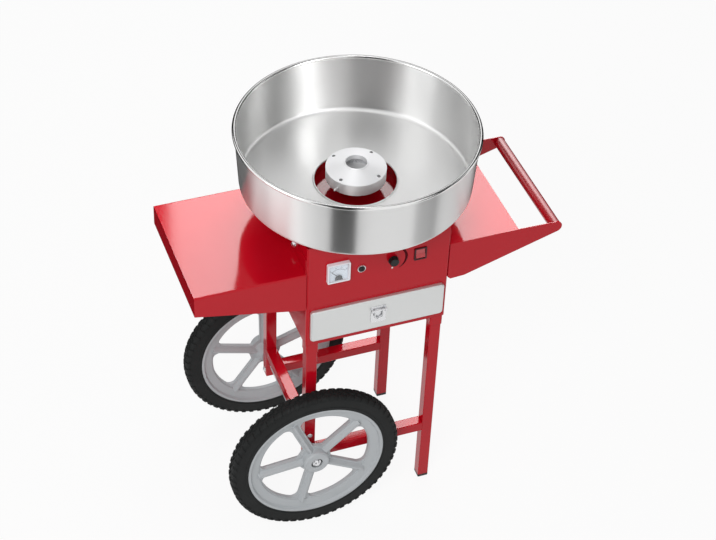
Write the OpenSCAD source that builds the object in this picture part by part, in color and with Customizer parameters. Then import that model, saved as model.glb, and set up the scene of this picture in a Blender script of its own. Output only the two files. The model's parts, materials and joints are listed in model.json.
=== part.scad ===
// Cotton candy cart: a floss machine with a drawer, on a two-wheeled frame with side shelves.
// Millimetres, +Z up, front at -Y. The origin is on the ground, under the middle of the object's box.

/* [Cabinet] */
// Height of the cabinet's underside above the ground
cabinet_base = 524; // [480:1:600]
// Width of the cabinet, left to right
cabinet_w = 320; // [310:1:350]
// Depth of the cabinet, front to back
cabinet_d = 312; // [300:1:350]
// Height of the cabinet with its deck and base pan
cabinet_h = 276; // [265:1:310]
// Thickness of the folded sheet steel
sheet = 1.5; // [1:0.1:2]
// Outside radius of the cabinet's upright folds
fold_r = 4; // [3:0.5:6]
// Width of the inward flanges under the deck and the rear cover
flange_w = 14; // [12:1:18]
// Length of one louvre slot in the rear cover
louvre_l = 70; // [40:1:90]
// Height of one louvre slot
louvre_h = 4; // [3:0.5:6]
// Louvre slots in each column
louvre_rows = 9; // [5:1:11]

/* [Bowl] */
// Outside diameter over the rolled rim
bowl_d = 520; // [480:1:560]
// Height of the bowl, from the underside of its floor to the top of the rim
bowl_h = 140; // [110:1:170]
// Gap between the deck and the bowl's floor
bowl_lift = 22; // [18:1:30]
// Thickness of the spun steel
bowl_sheet = 1.5; // [1:0.1:2]
// How much the wall's radius shrinks towards the floor
bowl_taper = 8; // [4:1:14]
// Outside radius of the corner between wall and floor
bowl_corner = 14; // [10:1:20]
// Diameter of the rolled rim
bead_d = 9; // [7:0.5:12]
// Diameter of the opening in the bowl's floor
bowl_hole_d = 174; // [160:1:190]

/* [Floss head] */
// Diameter of the head's cover
head_d = 129.5; // [110:0.5:136]
// Height of the head's drum, up to the cover's edge
drum_h = 32; // [28:1:40]
// Rise of the cover's cone
cone_h = 13; // [8:1:18]
// Diameter of the sugar hole
sugar_hole_d = 46; // [36:1:54]
// Gap between the bowl's underside level and the head's underside
head_gap = 4; // [3:0.5:8]
// Thickness of the cover and base castings
casting_t = 2.6; // [2:0.1:3.5]
// Radius of the circle of cover screws
head_screw_r = 57; // [50:0.5:58]
// Turn of the cover screws from the right
head_screw_turn = 36; // [0:1:89]
// Turn of the front pin in the drum's side, from the right
pin_turn = 213; // [180:1:270]

/* [Drive] */
// Diameter of the spindle
spindle_d = 12; // [10:0.5:14]
// Diameter of the motor
motor_d = 88; // [70:1:96]
// Height of the motor's body
motor_h = 80; // [60:1:84]
// Length of the posts between deck and motor plate
post_l = 72; // [70:1:76]
// Side of the square motor plate
motor_plate_w = 130; // [120:1:150]
// Outside diameter of the slip rings
slip_ring_d = 40; // [36:1:46]

/* [Cart frame] */
// Outside size of the square tube
tube = 25; // [22:0.5:30]
// Wall of the square tube
tube_wall = 1.5; // [1.2:0.1:2]
// Inset of the legs from the cabinet's sides
leg_inset = 4; // [3:0.5:8]
// Height of the low ends of the left legs
left_leg_end = 160; // [150:1:165]
// Height of the top of both stretchers
stretcher_top = 185.5; // [182:0.5:188]
// Height of the top of the left crossbar
crossbar_top = 248; // [240:0.5:300]
// Height of a foot cap's visible edge
foot_cap_h = 7; // [5:0.5:12]
// Depth of the leg sockets under the base pan
socket_h = 28; // [22:1:40]

/* [Wheels] */
// Diameter of the wheel over the tread
wheel_d = 395; // [390:1:410]
// Width of the tyre
tyre_w = 37; // [32:0.5:44]
// Diameter of the moulded rim under the tyre
rim_d = 319; // [300:1:330]
// Diameter inside the rim, at the ends of the openings
rim_inner_d = 258; // [240:1:268]
// Number of spokes
spokes = 5; // [4:1:6]
// Width of a spoke's web
spoke_w = 22; // [16:1:28]
// Thickness of the web
web_t = 9; // [6:0.5:12]
// Diameter of the hub's boss
hub_d = 60; // [50:1:66]
// Diameter of the axle
axle_d = 12; // [10:0.5:14]
// Tread blocks in each shoulder row
lugs = 56; // [30:1:64]
// Height of the tread blocks
lug_h = 2.2; // [1:0.1:5]
// Turn of the front wheel's first spoke
front_spoke_turn = 41; // [0:1:71]
// Turn of the rear wheel's first spoke
rear_spoke_turn = 53; // [0:1:71]

/* [Shelves] */
// Depth of both shelves' tops below the deck
shelf_top = 71; // [60:1:100]
// Reach of the left shelf from the cabinet's wall
left_shelf_l = 242; // [180:1:300]
// Height of the left shelf's apron at its outer end
apron_outer = 50; // [35:1:70]
// Height of the aprons and cheeks at the cabinet
apron_inner = 100; // [80:1:120]
// Reach of the right tray from the cabinet's wall
tray_l = 158; // [120:1:180]
// Reach of the push bar's centre from the cabinet's wall
handle_l = 247; // [220:1:290]
// Diameter of the push bar
handle_d = 25; // [22:0.5:32]
// Drop of the push bar's centre below the tray's top
handle_drop = 16; // [15:0.5:24]
// Height of the flanges that bolt the shelves to the cabinet
shelf_flange_h = 36; // [34:1:44]
// Distance between the two shelf bolts of one side
shelf_bolt_pitch = 158; // [100:1:200]

/* [Drawer] */
// Width of the drawer's front
drawer_front_w = 303; // [296:1:306]
// Height of the drawer's front
drawer_front_h = 84; // [80:1:88]
// Depth of the folded drawer front
drawer_front_t = 9; // [6:0.5:12]
// Corner radius of the drawer's front
drawer_front_r = 8; // [4:0.5:12]
// Height of the lower edge of the drawer's front above the cabinet's underside
drawer_front_lift = 16; // [8:0.5:20]
// Length of the drawer's tray
drawer_l = 270; // [220:1:280]
// Width of the pull's plate
pull_w = 34; // [32:1:44]
// Height of the pull's plate
pull_h = 46; // [40:1:60]
// Diameter of the pull's wire
pull_wire_d = 4; // [3:0.5:5]

/* [Front panel] */
// Depth of the row of controls below the deck
controls_h = 78; // [65:1:85]
// Place of the meter across the panel
meter_x = -92; // [-110:1:-85]
// Side of the square meter
meter_w = 50; // [44:1:56]
// Place of the fuse across the panel
fuse_x = -40; // [-50:1:-20]
// Diameter of the fuse holder's ring
fuse_ring_d = 18; // [16:0.5:24]
// Drop of the fuse below the row of controls
fuse_drop = 6; // [0:0.5:12]
// Place of the heat knob across the panel
knob_x = 30; // [15:1:40]
// Diameter of the heat knob
knob_d = 20; // [18:0.5:32]
// Height of the heat knob
knob_h = 11; // [9:0.5:20]
// Place of the switch across the panel
switch_x = 92; // [80:1:110]
// Width of the switch's bezel
switch_w = 28; // [26:0.5:32]
// Height of the switch's bezel
switch_h = 32; // [30:0.5:36]
// Angle of the rocker each way
rocker_tilt = 10; // [6:0.5:12]

/* [Hidden] */
$fn = 64;
// Clearances: pieces that slip together, shafts that turn, and faces of pieces that move past each other
slip = 0.2;
running = 0.05;
clear = 0.3;
// Open seam between the cabinet and the folded edges of the shelves
seam = 0.6;
// Overlap that lets unions and cuts pass through a face, and one that joins the stretches of a profile
eps = 0.5;
hair = 0.01;

// Reach of the whole object to the left and right of the machine's axis, and that axis's own place
left_reach = cabinet_w / 2 + left_shelf_l;
cheek_end_r = handle_d / 2 + 1.5;
right_reach = cabinet_w / 2 + handle_l + cheek_end_r;
axis_x = (left_reach - right_reach) / 2;

// Heights
deck_z = cabinet_base + cabinet_h;
bowl_z = deck_z + bowl_lift;
rim_z = bowl_z + bowl_h;
shelf_z = deck_z - shelf_top;
controls_z = deck_z - controls_h;
fuse_z = controls_z - fuse_drop;
front_y = -cabinet_d / 2;

// Legs and bars
leg_x = cabinet_w / 2 - leg_inset - tube / 2;
leg_y = cabinet_d / 2 - leg_inset - tube / 2;
tube_r = 2;
stretcher_z = stretcher_top - tube / 2;
crossbar_z = crossbar_top - tube / 2;
end_plate = 5;
bolt_d = 6;
bolt_hole_d = bolt_d + 2 * slip;
bolt_head_d = 12;
bolt_head_h = 4;
shelf_bolt_head_d = 18;
shelf_bolt_head_h = 7;
shelf_bolt_lift = 23;
shelf_bolt_z = shelf_z + shelf_bolt_lift;
socket_in = tube + 2 * slip;
socket_out = socket_in + 2 * sheet;
socket_bolt_z = cabinet_base - socket_h / 2;
foot_plug_h = 12;
plug_w = tube - 2 * tube_wall - 2 * slip;

// Wheels: distances along the axle run outward from the wheel's middle plane
wheel_r = wheel_d / 2;
axle_z = wheel_r;
hub_in = 27;
hub_out = 23;
hub_recess_d = 27;
hub_recess_h = 6;
bush_d = 20;
bush_flange_d = hub_recess_d - 1;
bush_flange_h = 2;
spacer_t = 2.7;
washer_t = 1.2;
cap_h = 6.5;
cap_d = 16;
wheel_y = leg_y + tube / 2 + spacer_t + clear + hub_in;
bush_face = hub_out - hub_recess_h + bush_flange_h;
washer_face = bush_face + clear + washer_t;
axle_end = washer_face + cap_h / 2;
lip_h = tyre_w / 2 - 1.5;

// Drawer
drawer_z = cabinet_base + drawer_front_lift + drawer_front_h / 2;
opening_w = drawer_front_w - 12;
opening_h = drawer_front_h - 10;
tray_w = opening_w - 6;
tray_h = opening_h - 12;
runner_top = drawer_z - opening_h / 2 + 4;
runner_h = 22;
runner_lip = 8;
runner_l = drawer_l - drawer_front_t - 2 * fold_r;
tray_z = runner_top + clear;
ceiling_z = drawer_z + opening_h / 2 + 6;
pull_pivot_h = pull_h / 2 - 9;
pull_stand = 5;

// Drive
motor_plate_t = 4;
motor_plate_z = deck_z - sheet - post_l - motor_plate_t;
boss_d = 30;
boss_h = 6;
motor_bore_h = 60;
motor_bore_z = motor_plate_z + boss_h - motor_bore_h;
motor_fins = 12;
fin_w = 3;
post_d = 10;
post_place = motor_plate_w / 2 - 14;
sleeve_d = 28;
slip_ring_h = 8;
slip_ring_lift = [20, 40];
brush_w = 6;
brush_block_w = 16;
brush_block_l = 20;
deck_hole_d = slip_ring_d + 8;
seat_in = bowl_hole_d / 2 + 3;
seat_out = seat_in + 4;
seat_wall = 2;

// Floss head
head_z = bowl_z + head_gap;
head_edge_z = head_z + drum_h;
head_top_z = head_edge_z + cone_h;
head_r = head_d / 2;
hub_boss_d = 28;
head_boss_h = 8;
band_out = head_r - 0.5;
band_in = band_out - 1.6;
dish_r = band_in - slip;
dish_h = 8;
band_lap = 3;
cover_lip = 2;
cover_chamfer = 1.5;
heater_r = head_r - 14;
pin_d = 5;
head_screw_d = 4;
pin_start = head_screw_r + head_screw_d / 2 + clear;
pin_reach = head_r + 9;

// Points along an arc of n steps
function arc(c, r, from, to, n) =
    [for (i = [0 : n]) let (a = from + (to - from) * i / n) c + r * [cos(a), sin(a)]];

// Rectangle with round corners, centred
module rounded_rect(w, h, r) {
    square([w - 2 * r, h], center = true);
    square([w, h - 2 * r], center = true);
    for (sx = [-1, 1], sy = [-1, 1])
        translate([sx * (w / 2 - r), sy * (h / 2 - r)]) circle(r);
}

// Long hole with round ends, lying along x
module slot(l, h) {
    square([l - h, h], center = true);
    for (s = [-1, 1]) translate([s * (l - h) / 2, 0]) circle(d = h);
}

// Moves what is drawn about the machine's axis to that axis
module on_axis() translate([axis_x, 0, 0]) children();

// Draws on the front panel: x to the right, y up, z out of the panel
module on_panel(x, z, out = 0) translate([axis_x + x, front_y - out, z]) rotate([90, 0, 0]) children();

// Turns a shape drawn along z to run along x or y
module along_x() rotate([0, 90, 0]) children();
module along_y() rotate([-90, 0, 0]) children();

module tube_section() difference() {
    rounded_rect(tube, tube, tube_r);
    rounded_rect(tube - 2 * tube_wall, tube - 2 * tube_wall, tube_r - tube_wall / 2);
}

// Domed head of height h on a flat face at z = 0
module dome(d, h) rotate_extrude() intersection() {
    translate([0, h - (d * d / 4 + h * h) / (2 * h)]) circle((d * d / 4 + h * h) / (2 * h), $fn = 96);
    square([d / 2, h]);
}

// Bolt with its head above z = 0 and its shank below
module bolt(head_d, head_h, shank_d, shank_l) {
    dome(head_d, head_h);
    translate([0, 0, -shank_l]) cylinder(d = shank_d, h = shank_l + head_h / 3);
}

// Places of the frame's bolts: [point on the outer face, turn that brings +z to the head's side]
function stretcher_bolts() = [for (sx = [-1, 1], sy = [-1, 1])
    [[axis_x + sx * (leg_x + tube / 2), sy * leg_y, stretcher_z], [0, sx * 90, 0]]];
function crossbar_bolts() = [for (sy = [-1, 1])
    [[axis_x - leg_x, sy * (leg_y + tube / 2), crossbar_z], [-sy * 90, 0, 0]]];
function socket_bolts() = [for (sx = [-1, 1], sy = [-1, 1])
    [[axis_x + sx * leg_x, sy * (leg_y - socket_out / 2), socket_bolt_z], [sy * 90, 0, 0]]];

// Clearance holes of those bolts
module bolt_holes(places, depth) for (p = places)
    translate(p[0]) rotate(p[1]) translate([0, 0, -depth]) cylinder(d = bolt_hole_d, h = depth + eps);

module frame_bolts() color("silver") {
    for (p = concat(stretcher_bolts(), crossbar_bolts()))
        translate(p[0]) rotate(p[1]) bolt(bolt_head_d, bolt_head_h, bolt_d, tube + end_plate);
    for (p = socket_bolts())
        translate(p[0]) rotate(p[1]) bolt(bolt_head_d, bolt_head_h, bolt_d, 2 * sheet + 6);
}

// One leg of square tube, from its low end up to the base pan
module leg(sx, sy, end) color("firebrick") difference() {
    translate([axis_x + sx * leg_x, sy * leg_y, end]) linear_extrude(cabinet_base - end) tube_section();
    bolt_holes(stretcher_bolts(), tube + eps);
    bolt_holes(socket_bolts(), tube);
    if (sx < 0) {
        bolt_holes(crossbar_bolts(), tube + eps);
        translate([axis_x - leg_x, sy * leg_y - tube, axle_z]) along_y()
            cylinder(d = axle_d + 2 * slip, h = 2 * tube);
    }
}
module left_front_leg() leg(-1, -1, left_leg_end);
module left_rear_leg() leg(-1, 1, left_leg_end);
module right_front_leg() leg(1, -1, foot_cap_h);
module right_rear_leg() leg(1, 1, foot_cap_h);

// Plugs of the right legs, each with a square edge that shows below the tube
module foot_caps() color("black") for (sy = [-1, 1]) translate([axis_x + leg_x, sy * leg_y, 0]) {
    linear_extrude(foot_cap_h) rounded_rect(tube, tube, tube_r);
    linear_extrude(foot_cap_h + foot_plug_h) rounded_rect(plug_w, plug_w, tube_r);
}

// Closed tube of length l along z, with a bolt hole in each end plate
module bar(l) difference() {
    translate([0, 0, -l / 2]) linear_extrude(l) rounded_rect(tube, tube, tube_r);
    translate([0, 0, -l / 2 + end_plate]) linear_extrude(l - 2 * end_plate)
        rounded_rect(tube - 2 * tube_wall, tube - 2 * tube_wall, tube_r - tube_wall / 2);
    translate([0, 0, -l / 2 - eps]) cylinder(d = bolt_hole_d, h = l + 2 * eps);
}
module stretcher(sy) color("firebrick")
    translate([axis_x, sy * leg_y, stretcher_z]) along_x() bar(2 * leg_x - tube);
module front_stretcher() stretcher(-1);
module rear_stretcher() stretcher(1);
module left_crossbar() color("firebrick")
    translate([axis_x - leg_x, 0, crossbar_z]) along_y() bar(2 * leg_y - tube);

// Rolling gear. at_wheel turns +z outward, away from the cart, on the front (-1) or rear (1) side
module at_wheel(sy) translate([axis_x - leg_x, sy * wheel_y, axle_z]) rotate([-sy * 90, 0, 0]) children();

module axle() color("silver") translate([axis_x - leg_x, -wheel_y - axle_end, axle_z])
    along_y() cylinder(d = axle_d, h = 2 * (wheel_y + axle_end));

module ring(d_out, d_in, h) difference() {
    cylinder(d = d_out, h = h);
    translate([0, 0, -eps]) cylinder(d = d_in, h = h + 2 * eps);
}

module axle_washers() color("silver") for (sy = [-1, 1]) at_wheel(sy) {
    translate([0, 0, -hub_in - clear - spacer_t]) ring(bush_d + 6, axle_d + 2 * slip, spacer_t);
    translate([0, 0, bush_face + clear]) ring(bush_d, axle_d + 2 * slip, washer_t);
}

module axle_caps() color("gainsboro") for (sy = [-1, 1]) at_wheel(sy) translate([0, 0, washer_face])
    difference() {
        union() {
            cylinder(d = cap_d, h = cap_h / 3);
            translate([0, 0, cap_h / 3]) dome(cap_d, cap_h * 2 / 3);
        }
        translate([0, 0, -eps]) cylinder(d = axle_d + 2 * running, h = cap_h / 2 + eps + running);
    }

// One opening between two spokes, with round corners, for the spoke pair about the +x axis
rim_inner_r = rim_inner_d / 2;
rim_fillet = 15;
hub_fillet = 10;
web_hub_r = hub_d / 2 + 8;
half_gap = 180 / spokes;
function corner(reach, off) = [sqrt(reach * reach - off * off), off];
function turned(p, a) = [p[0] * cos(a) - p[1] * sin(a), p[0] * sin(a) + p[1] * cos(a)];
function opening_half() =
    let (o = turned(corner(rim_inner_r - rim_fillet, spoke_w / 2 + rim_fillet), -half_gap),
         i = turned(corner(web_hub_r + hub_fillet, spoke_w / 2 + hub_fillet), -half_gap),
         oa = atan2(o[1], o[0]), ia = atan2(i[1], i[0]))
    concat(arc([0, 0], web_hub_r, 0, ia, 4), arc(i, hub_fillet, ia + 180, 270 - half_gap, 6),
        arc(o, rim_fillet, -90 - half_gap, oa, 8), arc([0, 0], rim_inner_r, oa, 0, 8));
module opening() for (m = [0, 1]) mirror([0, m]) polygon(opening_half());

// Section of a spoke's rib: a ridge on both faces of the web, with its foot sunk into the web
rib_h = tyre_w / 2 - 4;
rib_foot = spoke_w / 2 - 2.5;
rib_top = 2.5;
web_in = web_t / 2 - eps;
rib_section = [[-rib_top, -rib_h], [rib_top, -rib_h], [rib_foot, -web_in], [rib_foot, web_in],
    [rib_top, rib_h], [-rib_top, rib_h], [-rib_foot, web_in], [-rib_foot, -web_in]];

// Moulded wheel: rim channel, web with openings, ribbed spokes and a hub with a recess for the bush's flange
module wheel(turn) color("lightgray") difference() {
    union() {
        rotate_extrude() polygon([
            [rim_inner_r + 1.5, -web_in], [rim_inner_r + 3, -web_t / 2 - 3], [rim_d / 2 - 9, -web_t / 2 - 6],
            [rim_d / 2 - 6, -lip_h], [rim_d / 2, -lip_h], [rim_d / 2, lip_h], [rim_d / 2 - 6, lip_h],
            [rim_d / 2 - 9, web_t / 2 + 6], [rim_inner_r + 3, web_t / 2 + 3], [rim_inner_r + 1.5, web_in]]);
        rotate(turn) translate([0, 0, -web_t / 2]) linear_extrude(web_t) difference() {
            circle(rim_inner_r + 4);
            for (k = [0 : spokes - 1]) rotate((k + 0.5) * 2 * half_gap) opening();
        }
        for (k = [0 : spokes - 1]) rotate(turn + k * 2 * half_gap) translate([hub_d / 4, 0, 0])
            rotate([90, 0, 90]) linear_extrude(rim_inner_r + 6 - hub_d / 4) polygon(rib_section);
        rotate_extrude() polygon([
            [0, -hub_in], [bush_d / 2 + 6, -hub_in], [hub_d / 2 - 4, -web_t], [hub_d / 2, -web_in],
            [hub_d / 2, hub_out - 4], [hub_d / 2 - 3, hub_out], [0, hub_out]]);
    }
    translate([0, 0, -hub_in - eps]) cylinder(d = bush_d + 2 * running, h = hub_in + hub_out);
    translate([0, 0, hub_out - hub_recess_h]) cylinder(d = hub_recess_d, h = hub_recess_h + eps);
}
module front_wheel() at_wheel(-1) wheel(front_spoke_turn);
module rear_wheel() at_wheel(1) wheel(rear_spoke_turn);

// Tyre: a round-shouldered carcass with a centre rib and a staggered row of tread blocks on each shoulder
carcass_r = wheel_r - lug_h;
tyre_seat_r = rim_d / 2 + slip;
lug_pitch = 360 / lugs;
function lug_outline(shift) = [for (k = [0 : lugs - 1]) let (a = (k + shift) * lug_pitch - 90)
    each [for (q = [[-0.31, -1], [-0.31, 1], [0.31, 1], [0.31, -1]])
        (q[1] > 0 ? wheel_r : carcass_r - 3) * [cos(a + q[0] * lug_pitch), sin(a + q[0] * lug_pitch)]]];
module lug_row(shift) linear_extrude(tyre_w / 2 - 5) difference() {
    polygon(lug_outline(shift));
    circle(carcass_r - 8);
}
module tyre() color("black") {
    rotate_extrude() translate([(tyre_seat_r + carcass_r) / 2, 0])
        rounded_rect(carcass_r - tyre_seat_r, tyre_w, tyre_w / 4);
    translate([0, 0, 4]) lug_row(0);
    translate([0, 0, -tyre_w / 2 + 1]) lug_row(0.5);
    translate([0, 0, -1.5]) ring(2 * (wheel_r - 1), 2 * (carcass_r - 8), 3);
}
module front_tyre() at_wheel(-1) tyre();
module rear_tyre() at_wheel(1) tyre();

// Bush that runs on the axle and shows as a dark ring in the hub
module bush() color("dimgray") difference() {
    union() {
        translate([0, 0, -hub_in]) cylinder(d = bush_d, h = hub_in + bush_face);
        translate([0, 0, bush_face - bush_flange_h]) cylinder(d = bush_flange_d, h = bush_flange_h);
    }
    translate([0, 0, -hub_in - eps]) cylinder(d = axle_d + 2 * running, h = hub_in + bush_face + 2 * eps);
}
module front_hub_bush() at_wheel(-1) bush();
module rear_hub_bush() at_wheel(1) bush();

// Side shelves. A shelf bolt's hole goes through the shelf's upturned flange and the cabinet's wall
module shelf_bolt_places() for (sx = [-1, 1], s = [-1, 1])
    translate([axis_x + sx * (cabinet_w / 2 + sheet), s * shelf_bolt_pitch / 2, shelf_bolt_z])
        rotate([0, sx * 90, 0]) children();
module shelf_bolt_holes() shelf_bolt_places() translate([0, 0, -3 * sheet])
    cylinder(d = bolt_hole_d, h = 6 * sheet);
module shelf_bolts() color("gainsboro") shelf_bolt_places()
    bolt(shelf_bolt_head_d, shelf_bolt_head_h, bolt_d, 2 * sheet + 8);

// Upturned flange against the cabinet's left (-1) or right (1) wall
module shelf_flange(sx)
    translate([axis_x + sx * (cabinet_w / 2 + sheet / 2), 0, shelf_z + shelf_flange_h / 2])
        cube([sheet, cabinet_d - 2 * fold_r, shelf_flange_h + 2 * sheet], center = true);

// Left shelf: folded top with three aprons; the front and rear aprons deepen towards the cabinet
// Its side view shrunk by an inset, for the hollow, runs out past the open edges
module shelf_side(inset) polygon([
    [-left_reach + inset, shelf_z - inset], [-cabinet_w / 2 - seam + inset * 4, shelf_z - inset],
    [-cabinet_w / 2 - seam + inset * 4, shelf_z - apron_inner - inset * 40],
    [-left_reach + inset, shelf_z - apron_outer - inset * 40]]);
module left_shelf() color("firebrick") difference() {
    union() {
        on_axis() difference() {
            intersection() {
                translate([0, cabinet_d / 2, 0]) rotate([90, 0, 0]) linear_extrude(cabinet_d) shelf_side(0);
                translate([-left_reach - eps, 0, shelf_z - apron_inner]) along_x()
                    linear_extrude(left_shelf_l + 2 * eps) shelf_end();
            }
            translate([0, cabinet_d / 2 - sheet, 0]) rotate([90, 0, 0])
                linear_extrude(cabinet_d - 2 * sheet) shelf_side(sheet);
        }
        shelf_flange(-1);
        shelf_link();
    }
    shelf_bolt_holes();
}
// End view of the shelf, with its top folds rounded, lying for a sweep along x
module shelf_end() translate([-apron_inner, 0]) {
    translate([fold_r, -cabinet_d / 2]) square([2 * apron_inner, cabinet_d]);
    translate([0, -cabinet_d / 2 + fold_r]) square([2 * apron_inner, cabinet_d - 2 * fold_r]);
    for (s = [-1, 1]) translate([fold_r, s * (cabinet_d / 2 - fold_r)]) circle(fold_r);
}
// Strip of the top that joins the flange
shelf_link_w = 4;
module shelf_link()
    translate([axis_x - cabinet_w / 2 - sheet - shelf_link_w, -cabinet_d / 2 + fold_r, shelf_z - sheet])
        cube([sheet + shelf_link_w, cabinet_d - 2 * fold_r, sheet]);

// Right tray: folded top, a turned-down outer edge, and two cheeks that reach out to the push bar
cheek_start = cabinet_w / 2 + seam;
cheek_chamfer = 6;
tray_lip = 12;
handle_x = cabinet_w / 2 + handle_l;
handle_z = shelf_z - handle_drop;
cheek_kink = [cabinet_w / 2 + 39, shelf_z - apron_inner + 2];
// Point where the line from p touches the circle of radius r about c, on its lower side
function touch(p, c, r) = let (d = norm(c - p), a = atan2(c[1] - p[1], c[0] - p[0]) - asin(r / d))
    p + sqrt(d * d - r * r) * [cos(a), sin(a)];
module cheek_side() {
    polygon([[cheek_start, shelf_z], [cabinet_w / 2 + tray_l, shelf_z], [handle_x, handle_z + cheek_end_r],
        [handle_x, handle_z], touch(cheek_kink, [handle_x, handle_z], cheek_end_r), cheek_kink,
        [cheek_start + cheek_chamfer, shelf_z - apron_inner],
        [cheek_start, shelf_z - apron_inner + cheek_chamfer]]);
    translate([handle_x, handle_z]) circle(cheek_end_r);
}
module right_tray() color("firebrick") difference() {
    union() {
        for (s = [-1, 1]) on_axis() translate([0, s * (cabinet_d / 2 - sheet / 2) + sheet / 2, 0])
            rotate([90, 0, 0]) linear_extrude(sheet) cheek_side();
        on_axis() translate([cabinet_w / 2, -cabinet_d / 2 + sheet / 2, shelf_z - sheet])
            cube([tray_l, cabinet_d - sheet, sheet]);
        on_axis() translate([cabinet_w / 2 + tray_l - sheet, -cabinet_d / 2 + sheet / 2, shelf_z - tray_lip])
            cube([sheet, cabinet_d - sheet, tray_lip]);
        shelf_flange(1);
    }
    shelf_bolt_holes();
}

module handle_bar() color("firebrick")
    translate([axis_x + handle_x, -cabinet_d / 2 + sheet, handle_z]) along_y() difference() {
        cylinder(d = handle_d, h = cabinet_d - 2 * sheet);
        translate([0, 0, -eps]) cylinder(d = handle_d - 2 * tube_wall, h = cabinet_d);
    }

// Cabinet. Screws sit in the middle of the flanges
function deck_screws() = [for (sx = [-1, 1], y = [-0.36, 0, 0.36])
    [axis_x + sx * (cabinet_w / 2 - flange_w / 2 - sheet / 2), y * cabinet_d, deck_z]];
function cover_screws() = [for (sx = [-1, 1], z = [0.12, 0.5, 0.88])
    [axis_x + sx * (cabinet_w / 2 - flange_w / 2 - sheet / 2), cabinet_d / 2, cabinet_base + z * cabinet_h]];
screw_d = 4;
screw_head_h = 2.4;
screw_l = 3 * sheet + 3;
module screw_hole() translate([0, 0, -4 * sheet]) cylinder(d = screw_d + 2 * slip, h = 8 * sheet);
module screw_holes() {
    for (p = deck_screws()) translate(p) screw_hole();
    for (p = cover_screws()) translate(p) along_y() screw_hole();
}
module case_screw() bolt(2 * screw_d, screw_head_h, screw_d, screw_l);
module case_screws() color("silver") {
    for (p = deck_screws()) translate(p) case_screw();
    for (p = cover_screws()) translate(p) along_y() case_screw();
}

// Cuts a flat shape through the front panel
module panel_cut(x, z) on_panel(x, z) translate([0, 0, -2 * sheet]) linear_extrude(4 * sheet) children();

// Front and sides in one folded sheet, with flanges at the top and the back and cut-outs in the front
module cabinet_shell() color("firebrick") difference() {
    on_axis() translate([0, 0, cabinet_base + sheet]) difference() {
        linear_extrude(cabinet_h - 2 * sheet) intersection() {
            rounded_rect(cabinet_w, cabinet_d, fold_r);
            translate([-cabinet_w, -cabinet_d]) square([2 * cabinet_w, cabinet_d * 1.5 - sheet]);
        }
        translate([0, 0, -eps]) linear_extrude(cabinet_h - 3 * sheet + eps) intersection() {
            rounded_rect(cabinet_w - 2 * sheet, cabinet_d - 2 * sheet, fold_r - sheet);
            translate([-cabinet_w, -cabinet_d]) square([2 * cabinet_w, cabinet_d * 1.5 - 2 * sheet]);
        }
        translate([-cabinet_w / 2 + flange_w, -cabinet_d / 2 + flange_w, 0])
            cube([cabinet_w - 2 * flange_w, cabinet_d, cabinet_h]);
        translate([-cabinet_w / 2 + flange_w, 0, -eps])
            cube([cabinet_w - 2 * flange_w, cabinet_d, cabinet_h]);
    }
    panel_cut(0, drawer_z) square([opening_w, opening_h], center = true);
    panel_cut(meter_x, controls_z) circle(d = meter_body_d + 2 * slip);
    panel_cut(fuse_x, fuse_z) circle(d = fuse_body_d + 2 * slip);
    panel_cut(knob_x, controls_z) circle(d = collar_d + 2 * slip);
    panel_cut(switch_x, controls_z)
        square([switch_body_w + 2 * slip, switch_body_h + 2 * slip], center = true);
    shelf_bolt_holes();
    screw_holes();
}

// Rear cover: louvre slots in two columns, counted down from its top edge, and the hole of the cable gland
louvre_gap = 24;
louvre_drop = 54;
louvre_pitch = 3 * louvre_h;
gland_d = 16;
gland_bore_d = 8;
gland_inset = 35;
gland_lift = 20;
gland_place = [-cabinet_w / 2 + gland_inset, ceiling_z + gland_lift - cabinet_base - sheet];
cover_h = cabinet_h - 2 * sheet;
module cover_outline() difference() {
    translate([-cabinet_w / 2 + fold_r, 0]) square([cabinet_w - 2 * fold_r, cover_h]);
    for (sx = [-1, 1], k = [0 : louvre_rows - 1])
        translate([sx * (louvre_l + louvre_gap) / 2, cover_h - louvre_drop - k * louvre_pitch])
            slot(louvre_l, louvre_h);
    translate(gland_place) circle(d = gland_d + 2 * slip);
}
module rear_cover() color("firebrick") difference() {
    on_axis() translate([0, cabinet_d / 2, cabinet_base + sheet]) rotate([90, 0, 0])
        linear_extrude(sheet) cover_outline();
    screw_holes();
}

// Gland: a hexagon either side of the cover, a threaded sleeve and a cap, with a bore for a cable
gland_hex_d = gland_d + 8;
gland_hex_h = 5;
gland_cap_d = gland_d + 2;
gland_cap_h = 12;
gland_in = 12;
module cable_gland() color("black")
    translate([axis_x + gland_place[0], cabinet_d / 2, cabinet_base + sheet + gland_place[1]]) along_y()
        difference() {
            union() {
                translate([0, 0, -sheet - gland_in]) cylinder(d = gland_d, h = 2 * gland_in);
                cylinder(d = gland_hex_d, h = gland_hex_h, $fn = 6);
                translate([0, 0, gland_hex_h]) cylinder(d = gland_cap_d, h = gland_cap_h);
                translate([0, 0, -sheet - gland_hex_h]) cylinder(d = gland_hex_d, h = gland_hex_h, $fn = 6);
            }
            translate([0, 0, -sheet - gland_in - eps]) cylinder(d = gland_bore_d, h = 4 * gland_in);
        }

// Deck: top plate with the spindle's hole, and the raised ring that the bowl sits on
module deck() color("firebrick") difference() {
    union() {
        on_axis() translate([0, 0, deck_z - sheet]) linear_extrude(sheet)
            rounded_rect(cabinet_w, cabinet_d, fold_r);
        on_axis() translate([0, 0, deck_z]) rotate_extrude() {
            translate([seat_in, -eps]) square([seat_wall, bowl_lift + eps]);
            translate([seat_in, bowl_lift - sheet]) square([seat_out - seat_in, sheet]);
        }
    }
    on_axis() translate([0, 0, deck_z - 2 * sheet]) cylinder(d = deck_hole_d, h = 4 * sheet);
    screw_holes();
}

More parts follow.
